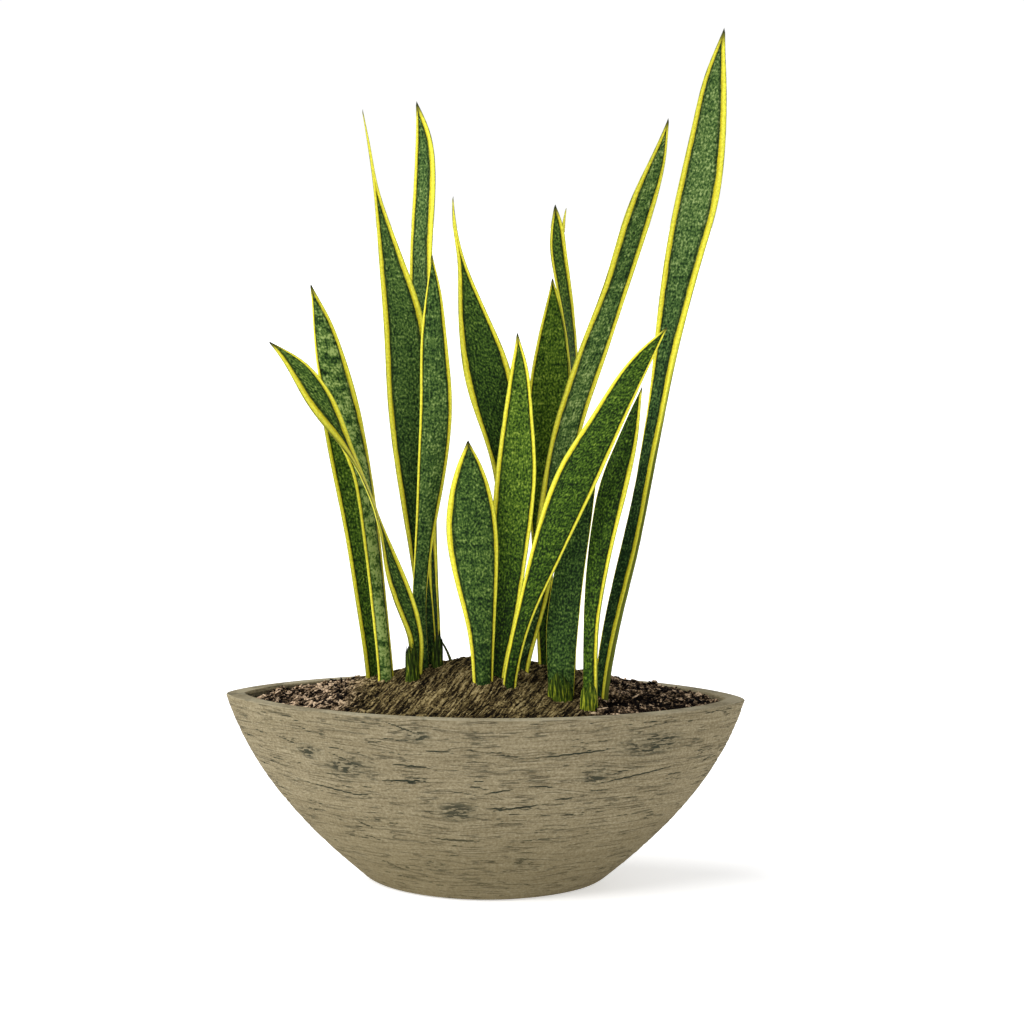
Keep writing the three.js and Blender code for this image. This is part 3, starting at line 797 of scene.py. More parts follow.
# %% [markdown]
# ## Planter
#
# The planter is cast in a stone mix with a coarse, wood-like grain: fine level grooves all round, some
# longer cracks and a few eye-shaped knots. Seen from above it is a lens with two pointed ends. The
# wall could be the solid with a bumpy material, but grooves seen against the light need real depth,
# so the wall is drawn as a fine net of points that are pushed in where a groove runs.

# %% The planter's form
END_WALL = 21 * MM
SIDE_WALL = 12 * MM
FLOOR_THICKNESS = 14 * MM
FOOT_ROUND = 6 * MM
RIM_ROUND = 3 * MM
INNER_ROUND = 2 * MM
TIP_SHARPNESS = 1.38
OUTLINE_CUTS = 40
FINE_STEPS = 40001
COLUMNS = 880
WALL_ROWS = 160

rim_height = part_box("planter")[1].z
planter_triangles = triangles_of("planter")
cut_heights = np.linspace(FOOT_ROUND, rim_height - RIM_ROUND, OUTLINE_CUTS)
cut_sizes = np.array([np.abs(cut_at(planter_triangles, height)[0]).max(0) for height in cut_heights])
length_curve, width_curve = [np.polynomial.Polynomial.fit(cut_heights, sizes, 4) for sizes in cut_sizes.T]


def lens(turn, half_length, half_width):
    """The plan outline: an ellipse whose ends are drawn out to points."""
    bow = np.sign(np.sin(turn)) * np.abs(np.sin(turn)) ** TIP_SHARPNESS
    return np.stack(np.broadcast_arrays(half_length * np.cos(turn), half_width * bow), -1)


def even_turns(count):
    """Angles that put points at even distances round the rim."""
    fine = np.linspace(0, 2 * math.pi, FINE_STEPS)
    outline = lens(fine, length_curve(rim_height), width_curve(rim_height))
    run = np.concatenate([[0], np.cumsum(np.linalg.norm(np.diff(outline, axis=0), axis=1))])
    return np.interp(np.arange(count) * run[-1] / count, run, fine), run[-1]


turns, rim_run = even_turns(COLUMNS)
column_width = rim_run / COLUMNS
print("rim length", round(rim_run, 3), "column", round(column_width, 5))


def wall_ring(height, inset_along, inset_across):
    outline = lens(turns, length_curve(height) - inset_along, width_curve(height) - inset_across)
    return np.column_stack([outline, np.full(COLUMNS, height)])


# %% [markdown]
# Each crack could be cut out of the wall as a shape of its own, but hundreds of cuts are slow and leave
# untidy faces. So cracks are kept in a chart of the wall, one number for each point of the net. A crack
# is a short slanting line in the chart: the closer a point is to the line, the deeper it is pushed in.

# %% A chart of the cracks
WOBBLE, WOBBLE_RUN, WOBBLE_TURNS = 0.35, 2.3, 900
wall_heights = np.linspace(0, rim_height - RIM_ROUND, WALL_ROWS)
row_height = wall_heights[1] - wall_heights[0]
grooves = np.zeros((WALL_ROWS, COLUMNS))


def column_at(x, height, front=True):
    """The chart's column, as a fraction, for a spot given by its place along the planter."""
    turn = math.acos(max(-1, min(1, x / length_curve(height))))
    return float(np.interp(2 * math.pi - turn if front else turn, turns, np.arange(COLUMNS)))


def cut_groove(column, height, run, rise, width, depth):
    """One groove centred on a column and height. run and rise are its whole length and climb."""
    reach = run / 2 + 3 * width
    columns = np.arange(int(column - reach / column_width), int(column + reach / column_width) + 2)
    half_climb = abs(rise) / 2 + 3 * width
    first_row = max(0, int((height - half_climb) / row_height))
    rows = np.arange(first_row, min(WALL_ROWS, int((height + half_climb) / row_height) + 2))
    if not len(rows):
        return
    sideways = (columns - column) * column_width
    share = np.clip(sideways / run + 0.5, 0, 1)
    wobble = WOBBLE * width * np.sin(sideways / (WOBBLE_RUN * width) + height * WOBBLE_TURNS)
    line = height + rise * (share - 0.5) + wobble
    fade = np.sqrt(np.clip(4 * share * (1 - share), 0, 1))
    off = wall_heights[rows][:, None] - line[None]
    pressed = depth * fade * np.exp(-((off / (width * (0.45 + 0.55 * fade))) ** 2))
    window = np.ix_(rows, columns % COLUMNS)
    grooves[window] = np.maximum(grooves[window], pressed)


# %% [markdown]
# The longest cracks are listed one by one, most of them where the bowl is broadest, with a slant of
# their own. The back gets the same ones, turned about. The many short ones are thrown like dice, and most
# of them are shallow.

# %% Long and short cracks
# Each long crack: its two ends as x and height in metres, and its depth in millimetres.
FRONT_CRACKS = [
    ((0.048, 0.151), (0.138, 0.158), 1.1), ((0.104, 0.121), (0.199, 0.135), 1.0),
    ((0.012, 0.097), (0.068, 0.104), 1.2), ((0.006, 0.115), (0.038, 0.120), 1.0),
    ((-0.050, 0.067), (0.010, 0.065), 1.1), ((0.020, 0.064), (0.094, 0.069), 0.7),
    ((-0.090, 0.186), (-0.052, 0.173), 1.0), ((-0.108, 0.163), (-0.089, 0.165), 0.8),
    ((-0.180, 0.114), (-0.098, 0.105), 1.0), ((-0.092, 0.125), (-0.046, 0.127), 1.2),
    ((-0.120, 0.078), (-0.102, 0.072), 1.2), ((-0.053, 0.158), (-0.018, 0.157), 0.9),
    ((-0.088, 0.143), (-0.034, 0.140), 1.0), ((0.058, 0.123), (0.078, 0.121), 0.9),
    ((-0.005, 0.021), (0.017, 0.018), 0.9), ((-0.093, 0.035), (-0.071, 0.028), 0.9),
    ((-0.112, 0.064), (-0.091, 0.058), 0.9), ((-0.150, 0.150), (-0.118, 0.140), 0.8),
    ((-0.205, 0.160), (-0.176, 0.152), 0.8), ((0.150, 0.176), (0.205, 0.183), 0.7),
    ((-0.030, 0.118), (0.008, 0.113), 0.7), ((0.020, 0.156), (0.050, 0.151), 0.7),
]
BACK_CRACK_DROP = 0.004
LONG_CRACK_WIDTH, SHORT_CRACK_WIDTH = 0.78 * MM, 0.68 * MM
SHORT_CRACKS = 1300
SHORT_RUN = (0.006, 0.034)
SHORT_SLANT = 0.07
SHORT_DEPTH_ROOT = (0.2, 0.95)


def cut_crack(start, end, depth, front):
    first, last = column_at(*start, front), column_at(*end, front)
    run = abs(last - first) * column_width
    rise = (end[1] - start[1]) * (1 if last > first else -1)
    cut_groove((first + last) / 2, (start[1] + end[1]) / 2, run, rise, LONG_CRACK_WIDTH, depth * MM)


for start, end, depth in FRONT_CRACKS:
    cut_crack(start, end, depth, True)
    turned_start, turned_end = [(-x, height - BACK_CRACK_DROP) for x, height in (start, end)]
    cut_crack(turned_start, turned_end, depth, False)

dice = np.random.default_rng(31)
for _ in range(SHORT_CRACKS):
    run = dice.uniform(*SHORT_RUN)
    column = dice.uniform(0, COLUMNS)
    height = dice.uniform(0.006, rim_height - 0.004)
    rise = dice.uniform(-SHORT_SLANT, SHORT_SLANT) * run
    cut_groove(column, height, run, rise, SHORT_CRACK_WIDTH, dice.uniform(*SHORT_DEPTH_ROOT) ** 2 * MM)
print("cracked share of the wall", round(float((grooves > 0.3 * MM).mean()), 3))

# %% [markdown]
# The grain isn't dead level. It wanders a little, and it bows round the knots like the grain of a
# plank. So each point of the net gets a second height, its place in the grain, and both the relief and
# the colour are drawn with that height instead of the true one.

# %% Knots and the run of the grain
# Each knot: x, height, half length and half height, in metres.
FRONT_KNOTS = [
    (0.170, 0.160, 0.036, 0.013), (-0.018, 0.096, 0.026, 0.011), (-0.125, 0.135, 0.030, 0.010),
    (0.116, 0.131, 0.016, 0.008), (-0.040, 0.036, 0.022, 0.006), (0.045, 0.043, 0.018, 0.006),
    (-0.165, 0.147, 0.018, 0.007), (-0.055, 0.172, 0.014, 0.007),
]
BACK_KNOTS = [
    (0.120, 0.140, 0.034, 0.012), (-0.060, 0.110, 0.026, 0.011), (-0.170, 0.155, 0.026, 0.009),
    (0.020, 0.050, 0.022, 0.008), (0.030, 0.165, 0.020, 0.007),
]
WANDER, SMALL_WANDER = 4 * MM, 0.8 * MM
WANDER_CELL, SMALL_WANDER_CELL = np.array([150, 150, 60]) * MM, np.array([40, 40, 20]) * MM
BOWING = 0.35


def grain_and_knots(rings):
    """The height in the grain and the share of knot, for each point of the wall."""
    grain = rings[..., 2] + WANDER * grid_noise(rings, WANDER_CELL, 9)
    grain = grain + SMALL_WANDER * grid_noise(rings, SMALL_WANDER_CELL, 10)
    knotted = np.zeros(grain.shape)
    for knots, front in ((FRONT_KNOTS, True), (BACK_KNOTS, False)):
        for x, height, half_length, half_height in knots:
            aside = np.arange(COLUMNS) - column_at(x, height, front)
            aside = ((aside + COLUMNS / 2) % COLUMNS - COLUMNS / 2) * column_width
            climb = wall_heights[:, None] - height
            wide = np.exp(-((aside / (1.7 * half_length)) ** 2) - (climb / (2.4 * half_height)) ** 2)
            grain = grain - BOWING * climb * wide
            close = np.exp(-((aside / half_length) ** 2) - (climb / half_height) ** 2)
            knotted = np.maximum(knotted, close)
    return grain, knotted


print("knots:", len(FRONT_KNOTS) + len(BACK_KNOTS))

# %% [markdown]
# The wall, the rounded rim and the inner wall are rings that follow one another, from the foot up the
# outside and down the inside. Only the outer wall is pressed in by the chart: on the rim and inside, the
# casting is smoother.

# %% The outer wall
GROOVE_LINES = ((np.array([40, 40, 2.4]) * MM, 1, 0.20 * MM), (np.array([25, 25, 6.0]) * MM, 2, 0.07 * MM))
SWELL, SWELL_CELL = 0.4 * MM, 55 * MM
WALL_SUNK = 0.45 * MM
CALM_FOOT = 8 * MM


def rounded_back(radius, below):
    """How far a rounded edge stands back at a height above its start."""
    below = np.clip(below, 0, radius)
    return radius - np.sqrt(radius**2 - (radius - below) ** 2)


wall_rings = np.array([wall_ring(height, *[rounded_back(FOOT_ROUND, height)] * 2) for height in wall_heights])
wall_grain, wall_knots = grain_and_knots(wall_rings)


def pressed_in(rings, grain):
    """The wall's rings pushed in where the chart has a crack, and lined along the grain."""
    facing = np.cross(np.roll(rings, -1, 1) - np.roll(rings, 1, 1), np.gradient(rings, axis=0))
    facing /= np.linalg.norm(facing, axis=2, keepdims=True)
    place = np.concatenate([rings[..., :2], grain[..., None]], axis=2)
    lines = sum(depth * grid_noise(place, cell, seed) for cell, seed, depth in GROOVE_LINES)
    swell = SWELL * grid_noise(rings, SWELL_CELL, 3)
    calm = np.clip(wall_heights / CALM_FOOT, 0, 1)[:, None]
    depth = (lines + swell - WALL_SUNK) * calm - grooves
    return list(rings + facing * depth[..., None])


# %% Rim and inner wall
CURVE_RINGS, RIM_TOP_RINGS, INNER_CURVE_RINGS = 5, 6, 4
RIM_RINGS = CURVE_RINGS + RIM_TOP_RINGS
INNER_SHOWN = np.linspace(rim_height - 4 * MM, rim_height - 24 * MM, 8)
INNER_HIDDEN = np.linspace(rim_height - 40 * MM, FLOOR_THICKNESS, 9)
INNER_RINGS = len(INNER_SHOWN) + len(INNER_HIDDEN)


def planter_rings():
    rings = pressed_in(wall_rings, wall_grain)
    for quarter in np.linspace(0, math.pi / 2, CURVE_RINGS + 1)[1:]:
        back = RIM_ROUND * (1 - math.cos(quarter))
        rings.append(wall_ring(rim_height - RIM_ROUND + RIM_ROUND * math.sin(quarter), back, back))
    for share in np.linspace(0, 1, RIM_TOP_RINGS + 1)[1:]:
        along = RIM_ROUND + share * (END_WALL - INNER_ROUND - RIM_ROUND)
        across = RIM_ROUND + share * (SIDE_WALL - INNER_ROUND - RIM_ROUND)
        rings.append(wall_ring(rim_height, along, across))
    for quarter in np.linspace(0, math.pi / 2, INNER_CURVE_RINGS + 1)[1:]:
        back = INNER_ROUND * (1 - math.sin(quarter))
        height = rim_height - INNER_ROUND * (1 - math.cos(quarter))
        rings.append(wall_ring(height, END_WALL - back, SIDE_WALL - back))
    rings += [wall_ring(height, END_WALL, SIDE_WALL) for height in [*INNER_SHOWN, *INNER_HIDDEN]]
    return np.array(rings)


# %% [markdown]
# The whole planter is one closed skin. Its foot and its floor are filled in last, each as one flat face
# with two round gaps, and short tubes join the gaps into drain holes. Holes could be cut with a Boolean
# modifier too, but filling round them keeps the net of the wall as it is.

# %% Planter mesh
DRAIN_SIDES = 32
DRAIN_RADIUS = 8 * MM
drain_boxes = [opening["box_m"] for opening in frame["record"]["physics"]["openings"]]
drain_middles = [(low[0] + high[0]) / 2 for low, high in drain_boxes]
print("drain holes at x", drain_middles)


def drain_circle(x, height):
    turn = np.arange(DRAIN_SIDES) * 2 * math.pi / DRAIN_SIDES
    return np.stack([x + DRAIN_RADIUS * np.cos(turn), DRAIN_RADIUS * np.sin(turn), 0 * turn + height], -1)


def filled(points, loops, upwards):
    """Triangles between an outline and the gaps in it, facing up or down."""
    corners = [corner for loop in loops for corner in loop]
    faces = []
    for triangle in tessellate_polygon([[Vector(points[corner]) for corner in loop] for loop in loops]):
        face = [corners[number] for number in triangle]
        one, two, three = points[face]
        faces_up = np.cross(two - one, three - one)[2] > 0
        faces.append(face if faces_up == upwards else face[::-1])
    return faces


def draw_planter(material):
    rings = planter_rings()
    points = [rings.reshape(-1, 3)]
    faces = ring_faces(len(rings), COLUMNS)
    start = len(rings) * COLUMNS
    foot = [list(range(COLUMNS))]
    floor_inside = [list(range(start - COLUMNS, start))]
    for x in drain_middles:
        points += [drain_circle(x, 0), drain_circle(x, FLOOR_THICKNESS)]
        faces += [face[::-1] for face in (np.array(ring_faces(2, DRAIN_SIDES)) + start).tolist()]
        foot.append(list(range(start, start + DRAIN_SIDES)))
        floor_inside.append(list(range(start + DRAIN_SIDES, start + 2 * DRAIN_SIDES)))
        start += 2 * DRAIN_SIDES
    points = np.concatenate(points)
    faces += filled(points, foot, False) + filled(points, floor_inside, True)
    planter = make_piece("planter_cast", points, faces, material, "planter")

    crack, knot, inside, rim = np.zeros((4, len(points)))
    wall = grooves.size
    crack[:wall] = grooves.ravel() / MM
    knot[:wall] = wall_knots.ravel()
    inside[(len(rings) - INNER_RINGS) * COLUMNS:] = 1
    # The rim's rings, which the finish paints pale as a highlight.
    rim[wall + 2 * COLUMNS:wall + RIM_RINGS * COLUMNS] = 1
    grain_place = points.copy()
    grain_place[:wall, 2] = wall_grain.ravel()
    store(planter, crack=crack, knot=knot, inside=inside, rim=rim, grain_place=grain_place)


# %% [markdown]
# ## Planter finish
#
# The stone's colour is a warm grey-beige. Streaks run with the grain, lighter and darker. The cracks
# are darkened to a dark green-grey, most of all in the knots. Towards the foot the wall is painted
# darker and slightly browner as shade, the rim's top is painted pale as a highlight, and the inside of
# the wall is stained by soil. Noise alone would put the darkening anywhere, so the cracks and knots of
# the chart are kept with the points and read here.

# %% Stone colours
STONE_COLOURS = [
    (0.0, (0.074, 0.060, 0.034)), (0.25, (0.136, 0.110, 0.062)), (0.5, (0.206, 0.171, 0.102)),
    (0.75, (0.282, 0.240, 0.150)), (1.0, (0.400, 0.352, 0.235))]
# The colour that darkens the cracks and scratches.
DARK_IN_CRACKS = (0.030, 0.033, 0.022)
KNOT_SMUDGE = (0.095, 0.092, 0.060)
# Painted shade: the colour that darkens the wall towards its foot.
PAINTED_SHADE_AT_FOOT = (0.128, 0.104, 0.052)
SOIL_STAIN = (0.060, 0.054, 0.036)
PAINTED_RIM_HIGHLIGHT = (0.400, 0.365, 0.260)
PAINTED_SHADE_HEIGHT = 130 * MM


def bare_stone(tree, spot, streaks, grit):
    broad = noise(tree, spot, 1, 2, 0.5, (8, 8, 30))
    tone = arithmetic(tree, "ADD", centred(tree, streaks, 0.7), centred(tree, broad, 0.22))
    tone = arithmetic(tree, "ADD", tone, centred(tree, grit, 1.0))
    return colour_stops(tree, arithmetic(tree, "ADD", tone, 0.56), STONE_COLOURS)


def scratch_lines(tree, spot, knot):
    """Thin broken lines where a noise value passes its middle, and flecks that crowd in the knots."""
    lines = noise(tree, spot, 1, 2, 0.5, (17, 17, 250))
    off = arithmetic(tree, "ABSOLUTE", arithmetic(tree, "SUBTRACT", lines, 0.5))
    broken = rescale(tree, noise(tree, spot, 1, 2, 0.6, (40, 40, 160)), 0.40, 0.56, 0, 0.62)
    scratches = arithmetic(tree, "MULTIPLY", rescale(tree, off, 0.004, 0.030, 1, 0), broken)
    flecks = rescale(tree, noise(tree, spot, 1, 2, 0.6, (80, 80, 560)), 0.44, 0.50, 1, 0)
    flecks = arithmetic(tree, "MULTIPLY", flecks, rescale(tree, knot, 0.25, 0.75, 0, 0.9))
    return arithmetic(tree, "MAXIMUM", scratches, flecks)


# %% Planter finish
def stone_finish():
    material, tree = new_finish("cast_stone")
    spot = stored(tree, "grain_place", "Vector")
    knot = stored(tree, "knot")
    streaks = noise(tree, spot, 1, 2, 0.6, (24, 24, 620))
    grit = noise(tree, spot, 560, 2, 0.6, (0.7, 0.7, 1))
    scratches = scratch_lines(tree, spot, knot)
    smudge = arithmetic(tree, "MULTIPLY", knot, 0.28)
    ragged = arithmetic(tree, "ADD", stored(tree, "crack"), centred(tree, grit, 0.5))
    height = add_node(tree, "ShaderNodeSeparateXYZ", {0: spot}).outputs["Z"]
    stain = rescale(tree, noise(tree, spot, 150, 4, 0.65), 0.40, 0.60, 0.35, 0.95)

    colour = mix_colours(tree, smudge, bare_stone(tree, spot, streaks, grit), KNOT_SMUDGE)
    colour = mix_colours(tree, scratches, colour, DARK_IN_CRACKS)
    colour = mix_colours(tree, rescale(tree, ragged, 0.28, 0.55), colour, DARK_IN_CRACKS)
    # Painted shade: darker and browner towards the foot, fading out 130 mm up.
    colour = mix_colours(tree, rescale(tree, height, 0, PAINTED_SHADE_HEIGHT, 0.55, 0), colour, PAINTED_SHADE_AT_FOOT)
    stain = arithmetic(tree, "MULTIPLY", stain, stored(tree, "inside"))
    colour = mix_colours(tree, stain, colour, SOIL_STAIN)
    # Painted highlight: the rim is paler, more so along the lighter streaks.
    rim_highlight = arithmetic(tree, "MULTIPLY", stored(tree, "rim"), rescale(tree, streaks, 0.35, 0.6, 0.15, 0.5))
    colour = mix_colours(tree, rim_highlight, colour, PAINTED_RIM_HIGHLIGHT)

    relief = arithmetic(tree, "MULTIPLY_ADD", streaks, 0.6, arithmetic(tree, "MULTIPLY", grit, 0.4))
    relief = arithmetic(tree, "MULTIPLY_ADD", scratches, -0.8, relief)
    return finish_surface(material, colour, relief, 1.2 * MM, 0.9, 0.04)


draw_planter(stone_finish())

# %% [markdown]
# ## Potting soil
#
# The soil rises to a mound under the plant and is coarse: bark chips towards both ends, short fibres
# combed one way on the mound. Scanned soil would be a heavy mesh. Here the surface is one net of points
# that is lowered and raised by noise of several sizes, from broad lumps down to crumbs.

# %% The soil's surface
SOIL_BELOW_RIM = 8 * MM
MOUND_HEIGHT = 46 * MM
MOUND_HALF = (147 * MM, 75 * MM)
MOUND_MIDDLE = (8 * MM, 5 * MM)
SOIL_GAP = 0.6 * MM
COMBED = math.radians(66)
ENDS_MIDDLE, ENDS_START, ENDS_FADE = 10 * MM, 95 * MM, 45 * MM
STROKE_CELL = np.array([16, 2.6, 9]) * MM
BARK_CELL, CHIP_CELL = np.array([13, 9, 9]) * MM, np.array([6, 4, 4]) * MM
LUMPS = ((1.4, 19 * MM, 21), (0.6, 7 * MM, 22), (0.5, 3.4 * MM, 23), (0.4, 1.9 * MM, 24))
STROKE_HEIGHT, BARK_HEIGHT, CHIP_HEIGHT, BARK_SUNK = 1.2, 4.2, 2.2, 1.2
SOIL_SUNK = 1.0
LOW_BESIDE_WALL, CALM_BESIDE_WALL = 2.4, 9 * MM

soil_level = rim_height - SOIL_BELOW_RIM
hollow_length = float(length_curve(soil_level)) - END_WALL - SOIL_GAP
hollow_width = float(width_curve(soil_level)) - SIDE_WALL - SOIL_GAP


def mound(x, y):
    along, across = (x - MOUND_MIDDLE[0]) / MOUND_HALF[0], (y - MOUND_MIDDLE[1]) / MOUND_HALF[1]
    return soil_level + MOUND_HEIGHT * np.exp(-(along**2) - across**2)


def combed(x, y):
    """Lengths along and across the way in which the mound's fibres lie."""
    return x * math.cos(COMBED) + y * math.sin(COMBED), y * math.cos(COMBED) - x * math.sin(COMBED)


def at_ends(x):
    """From 0 on the mound to 1 towards the planter's two points."""
    return np.clip((np.abs(x + ENDS_MIDDLE) - ENDS_START) / ENDS_FADE, 0, 1)


def hollow_half_width(x):
    return hollow_width * np.clip(1 - (x / hollow_length) ** 2, 0, 1) ** (TIP_SHARPNESS / 2)


def soil_height(x, y):
    """The surface with its lumps, fibres and crumbs, a little lower beside the wall."""
    flat = np.stack(np.broadcast_arrays(x, y, 0.0), -1)
    along, across = combed(flat[..., 0], flat[..., 1])
    strokes = STROKE_HEIGHT * grid_noise(np.stack([along, across, 0 * along], -1), STROKE_CELL, 25)
    lumps = sum(size * grid_noise(flat, cell, seed) for size, cell, seed in LUMPS)
    ends = at_ends(x)
    bark = BARK_HEIGHT * np.abs(grid_noise(flat, BARK_CELL, 26)) - BARK_SUNK
    bark = bark + CHIP_HEIGHT * np.abs(grid_noise(flat, CHIP_CELL, 27))
    beside = np.clip((hollow_half_width(x) - np.abs(y)) / CALM_BESIDE_WALL, 0, 1)
    rough = (lumps + strokes * (1 - ends) + bark * ends) * (0.35 + 0.65 * beside)
    return mound(x, y) + MM * (rough - SOIL_SUNK - LOW_BESIDE_WALL * (1 - beside))


print("soil's height at the wall and on the mound", round(soil_level, 3), round(mound(*MOUND_MIDDLE), 3))

# %% [markdown]
# The net covers the whole hollow. Its border is then carried down inside the wall to the floor, ring
# under ring, so the soil is a closed body like its solid and not a lid.

# %% Soil mesh
SOIL_COLUMNS, SOIL_ROWS = 380, 150
SKIRT_RINGS = 8
SKIRT_START = 12 * MM


def draw_soil(material):
    ends = np.sin(np.linspace(-math.pi / 2, math.pi / 2, SOIL_COLUMNS) * 0.985)
    x = np.repeat(ends[:, None] * hollow_length, SOIL_ROWS, 1)
    y = np.linspace(-1, 1, SOIL_ROWS)[None] * hollow_half_width(x)
    top = np.stack([x, y, soil_height(x, y)], -1).reshape(-1, 3)
    faces = ring_faces(SOIL_COLUMNS, SOIL_ROWS, closed=False)
    number = np.arange(SOIL_COLUMNS * SOIL_ROWS).reshape(SOIL_COLUMNS, SOIL_ROWS)
    border = np.array([*number[:, 0], *number[-1, 1:], *number[-2::-1, -1], *number[0, -2:0:-1]])
    edge = top[border]
    layers, rings = [top], [border]
    for height in np.linspace(soil_level - SKIRT_START, FLOOR_THICKNESS + SOIL_GAP, SKIRT_RINGS):
        shrink_x = (float(length_curve(height)) - END_WALL - SOIL_GAP) / hollow_length
        shrink_y = (float(width_curve(height)) - SIDE_WALL - SOIL_GAP) / hollow_width
        lower = [edge[:, 0] * shrink_x, edge[:, 1] * shrink_y, np.full(len(edge), height)]
        layers.append(np.column_stack(lower))
        rings.append(len(top) + np.arange(len(edge)) + (len(rings) - 1) * len(edge))
    for upper, lower in zip(rings, rings[1:]):
        faces += np.stack([lower, np.roll(lower, -1), np.roll(upper, -1), upper], -1).tolist()
    faces.append(rings[-1].tolist())
    points = np.concatenate(layers)
    surface = make_piece("soil_surface", points, faces, material, "potting_soil")
    # Painted light and shade: the higher a point stands above the mound, the lighter it is; the lower, the
    # darker.
    above = (points[:, 2] - mound(points[:, 0], points[:, 1])) / MM + 1
    store(surface, lump_tone=0.5 + np.clip(above * 0.16, -0.7, 0.4))


# %% [markdown]
# ## Soil finish
#
# On the mound the soil is brown humus with combed fibres. Towards both ends it is bark, with darker
# gaps and paler chips. The top of a lump is painted lighter and the gap beside it darker, and the soil
# sunk along the wall is painted darker too: painted light and shade. So each point keeps a number for
# how high it stands above the mound, and the finish adds it to the noise.

# %% Soil finish
HUMUS_COLOURS = [
    (0.0, (0.004, 0.003, 0.002)), (0.25, (0.030, 0.021, 0.009)), (0.5, (0.110, 0.080, 0.032)),
    (0.75, (0.215, 0.162, 0.068)), (1.0, (0.360, 0.285, 0.140))]
BARK_COLOURS = [
    (0.0, (0.003, 0.002, 0.002)), (0.25, (0.022, 0.014, 0.009)), (0.5, (0.090, 0.060, 0.034)),
    (0.75, (0.300, 0.208, 0.130)), (1.0, (0.640, 0.475, 0.320))]
PAINTED_SHADE_RIGHT = (60 * MM, 140 * MM)


def soil_finish():
    """Humus on the mound and bark at the ends. The right end is painted a little darker, as shade."""
    material, tree = new_finish("soil_mix")
    spot = add_node(tree, "ShaderNodeTexCoord").outputs["Object"]
    turning = {"Vector": spot, "Angle": -COMBED}
    combed_spot = add_node(tree, "ShaderNodeVectorRotate", turning, rotation_type="Z_AXIS").outputs[0]
    fine = noise(tree, spot, 430, 2, 0.6)
    clumps = noise(tree, spot, 110, 2, 0.6)
    fibres = noise(tree, combed_spot, 1, 2, 0.5, (42, 460, 60))
    x = add_node(tree, "ShaderNodeSeparateXYZ", {0: spot}).outputs["X"]
    from_middle = arithmetic(tree, "ABSOLUTE", arithmetic(tree, "ADD", x, ENDS_MIDDLE))
    ends = rescale(tree, from_middle, ENDS_START, ENDS_START + ENDS_FADE)
    on_mound = rescale(tree, ends, 0, 1, 1, 0.3)
    tone = arithmetic(tree, "ADD", centred(tree, fine, 1.4), centred(tree, clumps, 0.5))
    tone = arithmetic(tree, "MULTIPLY_ADD", centred(tree, fibres, 2.2), on_mound, tone)
    tone = arithmetic(tree, "ADD", tone, stored(tree, "lump_tone"))
    tone = arithmetic(tree, "SUBTRACT", tone, rescale(tree, ends, 0, 1, 0.10, 0.22))
    # Painted shade: the soil's right end is darker.
    tone = arithmetic(tree, "SUBTRACT", tone, rescale(tree, x, *PAINTED_SHADE_RIGHT, 0, 0.12))
    humus = colour_stops(tree, tone, HUMUS_COLOURS)
    bark = colour_stops(tree, arithmetic(tree, "MULTIPLY_ADD", tone, 1.6, -0.27), BARK_COLOURS)
    colour = mix_colours(tree, ends, humus, bark)
    relief = arithmetic(tree, "ADD", fine, fibres)
    return finish_surface(material, colour, relief, 1.8 * MM, 0.95, 0.04)


soil_material = soil_finish()
draw_soil(soil_material)

# %% [markdown]
# ## Loose crumbs, bark and fibres
#
# Crumbs, bark chips and bits of fibre lie loose on the soil, and crumbs are banked up round every foot.
# Blender's particles could strew them, but each would then be a copy of one shape. Here each is a rough
# lump of its own with twenty faces, stretched to its own length, width and height, and laid on the
# slope. The dice are numbered, so they fall the same way every time.

# %% One lump
GOLDEN = (1 + math.sqrt(5)) / 2
SEED_POINTS = np.array([
    (-1, GOLDEN, 0), (1, GOLDEN, 0), (-1, -GOLDEN, 0), (1, -GOLDEN, 0),
    (0, -1, GOLDEN), (0, 1, GOLDEN), (0, -1, -GOLDEN), (0, 1, -GOLDEN),
    (GOLDEN, 0, -1), (GOLDEN, 0, 1), (-GOLDEN, 0, -1), (-GOLDEN, 0, 1),
]) / math.hypot(1, GOLDEN)
SEED_FACES = np.array([
    (0, 11, 5), (0, 5, 1), (0, 1, 7), (0, 7, 10), (0, 10, 11), (1, 5, 9), (5, 11, 4), (11, 10, 2), (10, 7, 6),
    (7, 1, 8), (3, 9, 4), (3, 4, 2), (3, 2, 6), (3, 6, 8), (3, 8, 9), (4, 9, 5), (2, 4, 11), (6, 2, 10),
    (8, 6, 7), (9, 8, 1),
])
UNEVEN = (0.72, 1.2)


def lump_turn(yaw, tilt, x, y):
    """Axes of a lump that lies on the mound's slope, its length towards yaw, tipped by tilt."""
    step = 1 * MM
    slope_x = (mound(x + step, y) - mound(x - step, y)) / (2 * step)
    slope_y = (mound(x, y + step) - mound(x, y - step)) / (2 * step)
    along = Vector((math.cos(yaw), math.sin(yaw), slope_x * math.cos(yaw) + slope_y * math.sin(yaw) + tilt))
    up = Vector((-slope_x, -slope_y, 1))
    along.normalize()
    across = up.cross(along).normalized()
    return np.array([along, across, along.cross(across)])


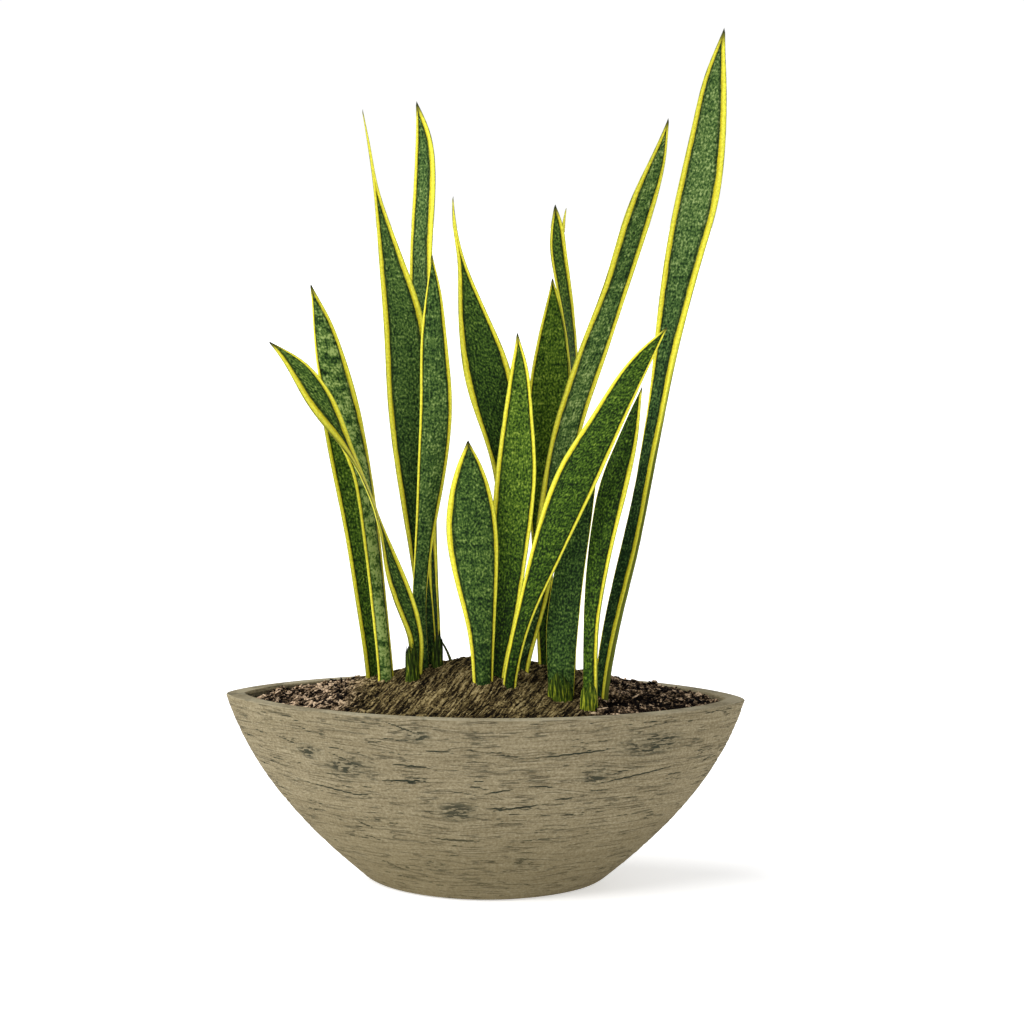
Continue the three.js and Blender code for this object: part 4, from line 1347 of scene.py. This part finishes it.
# %% Many lumps
def scatter(name, places, least, most, yaws, tipping, sunk, seed):
    """Many small lumps in one mesh. least and most are half lengths, widths and heights in millimetres."""
    dice = np.random.default_rng(seed)
    points, faces, tones = [], [], []
    for number, (x, y) in enumerate(places):
        size = dice.uniform(least, most) * MM
        lump = SEED_POINTS * size * dice.uniform(*UNEVEN, (len(SEED_POINTS), 1))
        axes = lump_turn(dice.uniform(*yaws), dice.normal(0, tipping), x, y)
        ground = float(soil_height(np.array(x), np.array(y)))
        points.append(lump @ axes + [x, y, ground + size[2] * sunk])
        faces += (SEED_FACES + len(SEED_POINTS) * number).tolist()
        # Painted light and shade: each lump is lighter at its top and darker at its foot, on a random tone of
        # its own.
        climb = np.clip((points[-1][:, 2] - ground) / size[2], -1.2, 1.2)
        tones += (0.1 + 0.85 * dice.uniform(0, 1) ** 1.5 + 0.25 * climb).tolist()
    lumps = make_piece(name, np.concatenate(points), faces, soil_material)
    for polygon in lumps.data.polygons:
        polygon.use_smooth = False
    store(lumps, lump_tone=tones)


# %% Where the lumps lie
CLEAR_OF_TIPS, CLEAR_OF_WALL = 0.93, 0.94
BANK_ALONG, BANK_OFF = 1.25, (2.0, 5.5)


def strewn(count, seed, spread):
    """Places inside the hollow, with their x drawn by spread."""
    dice = np.random.default_rng(seed)
    places = []
    while len(places) < count:
        x = float(spread(dice))
        if abs(x) < CLEAR_OF_TIPS * hollow_length:
            places.append((x, dice.uniform(-CLEAR_OF_WALL, CLEAR_OF_WALL) * float(hollow_half_width(x))))
    return places


def banked(count, seed):
    """Places close round the leaves' feet, where soil is pressed against them."""
    dice = np.random.default_rng(seed)
    places = []
    for x, y, chord_x, chord_y in feet:
        half = math.hypot(chord_x, chord_y)
        for _ in range(count):
            side = dice.uniform(-BANK_ALONG, BANK_ALONG)
            off = dice.choice([-1, 1]) * dice.uniform(*BANK_OFF) * MM / half
            places.append((x + chord_x * side - chord_y * off, y + chord_y * side + chord_x * off))
    return places


# %% Crumbs, bark and fibres
ALL_ROUND = (0, 2 * math.pi)
AS_COMBED = (COMBED - 0.3, COMBED + 0.2)
scatter("soil_crumbs", strewn(2600, 15, lambda dice: dice.uniform(-0.23, 0.23)),
        (0.5, 0.5, 0.4), (1.7, 1.4, 1.1), ALL_ROUND, tipping=0.3, sunk=0.1, seed=5)
scatter("bark_chips", strewn(700, 16, lambda dice: dice.choice([-1, 1]) * dice.uniform(0.10, 0.225)),
        (2.6, 1.2, 0.7), (8.5, 3.0, 1.7), ALL_ROUND, tipping=0.35, sunk=0.5, seed=6)
scatter("soil_fibres", strewn(2600, 17, lambda dice: dice.normal(-0.01, 0.065)),
        (2.5, 0.3, 0.3), (7.0, 0.7, 0.6), AS_COMBED, tipping=0.05, sunk=0.2, seed=7)
scatter("foot_crumbs", banked(34, 18),
        (0.9, 0.9, 0.8), (2.8, 2.2, 2.0), ALL_ROUND, tipping=0.4, sunk=0.5, seed=8)
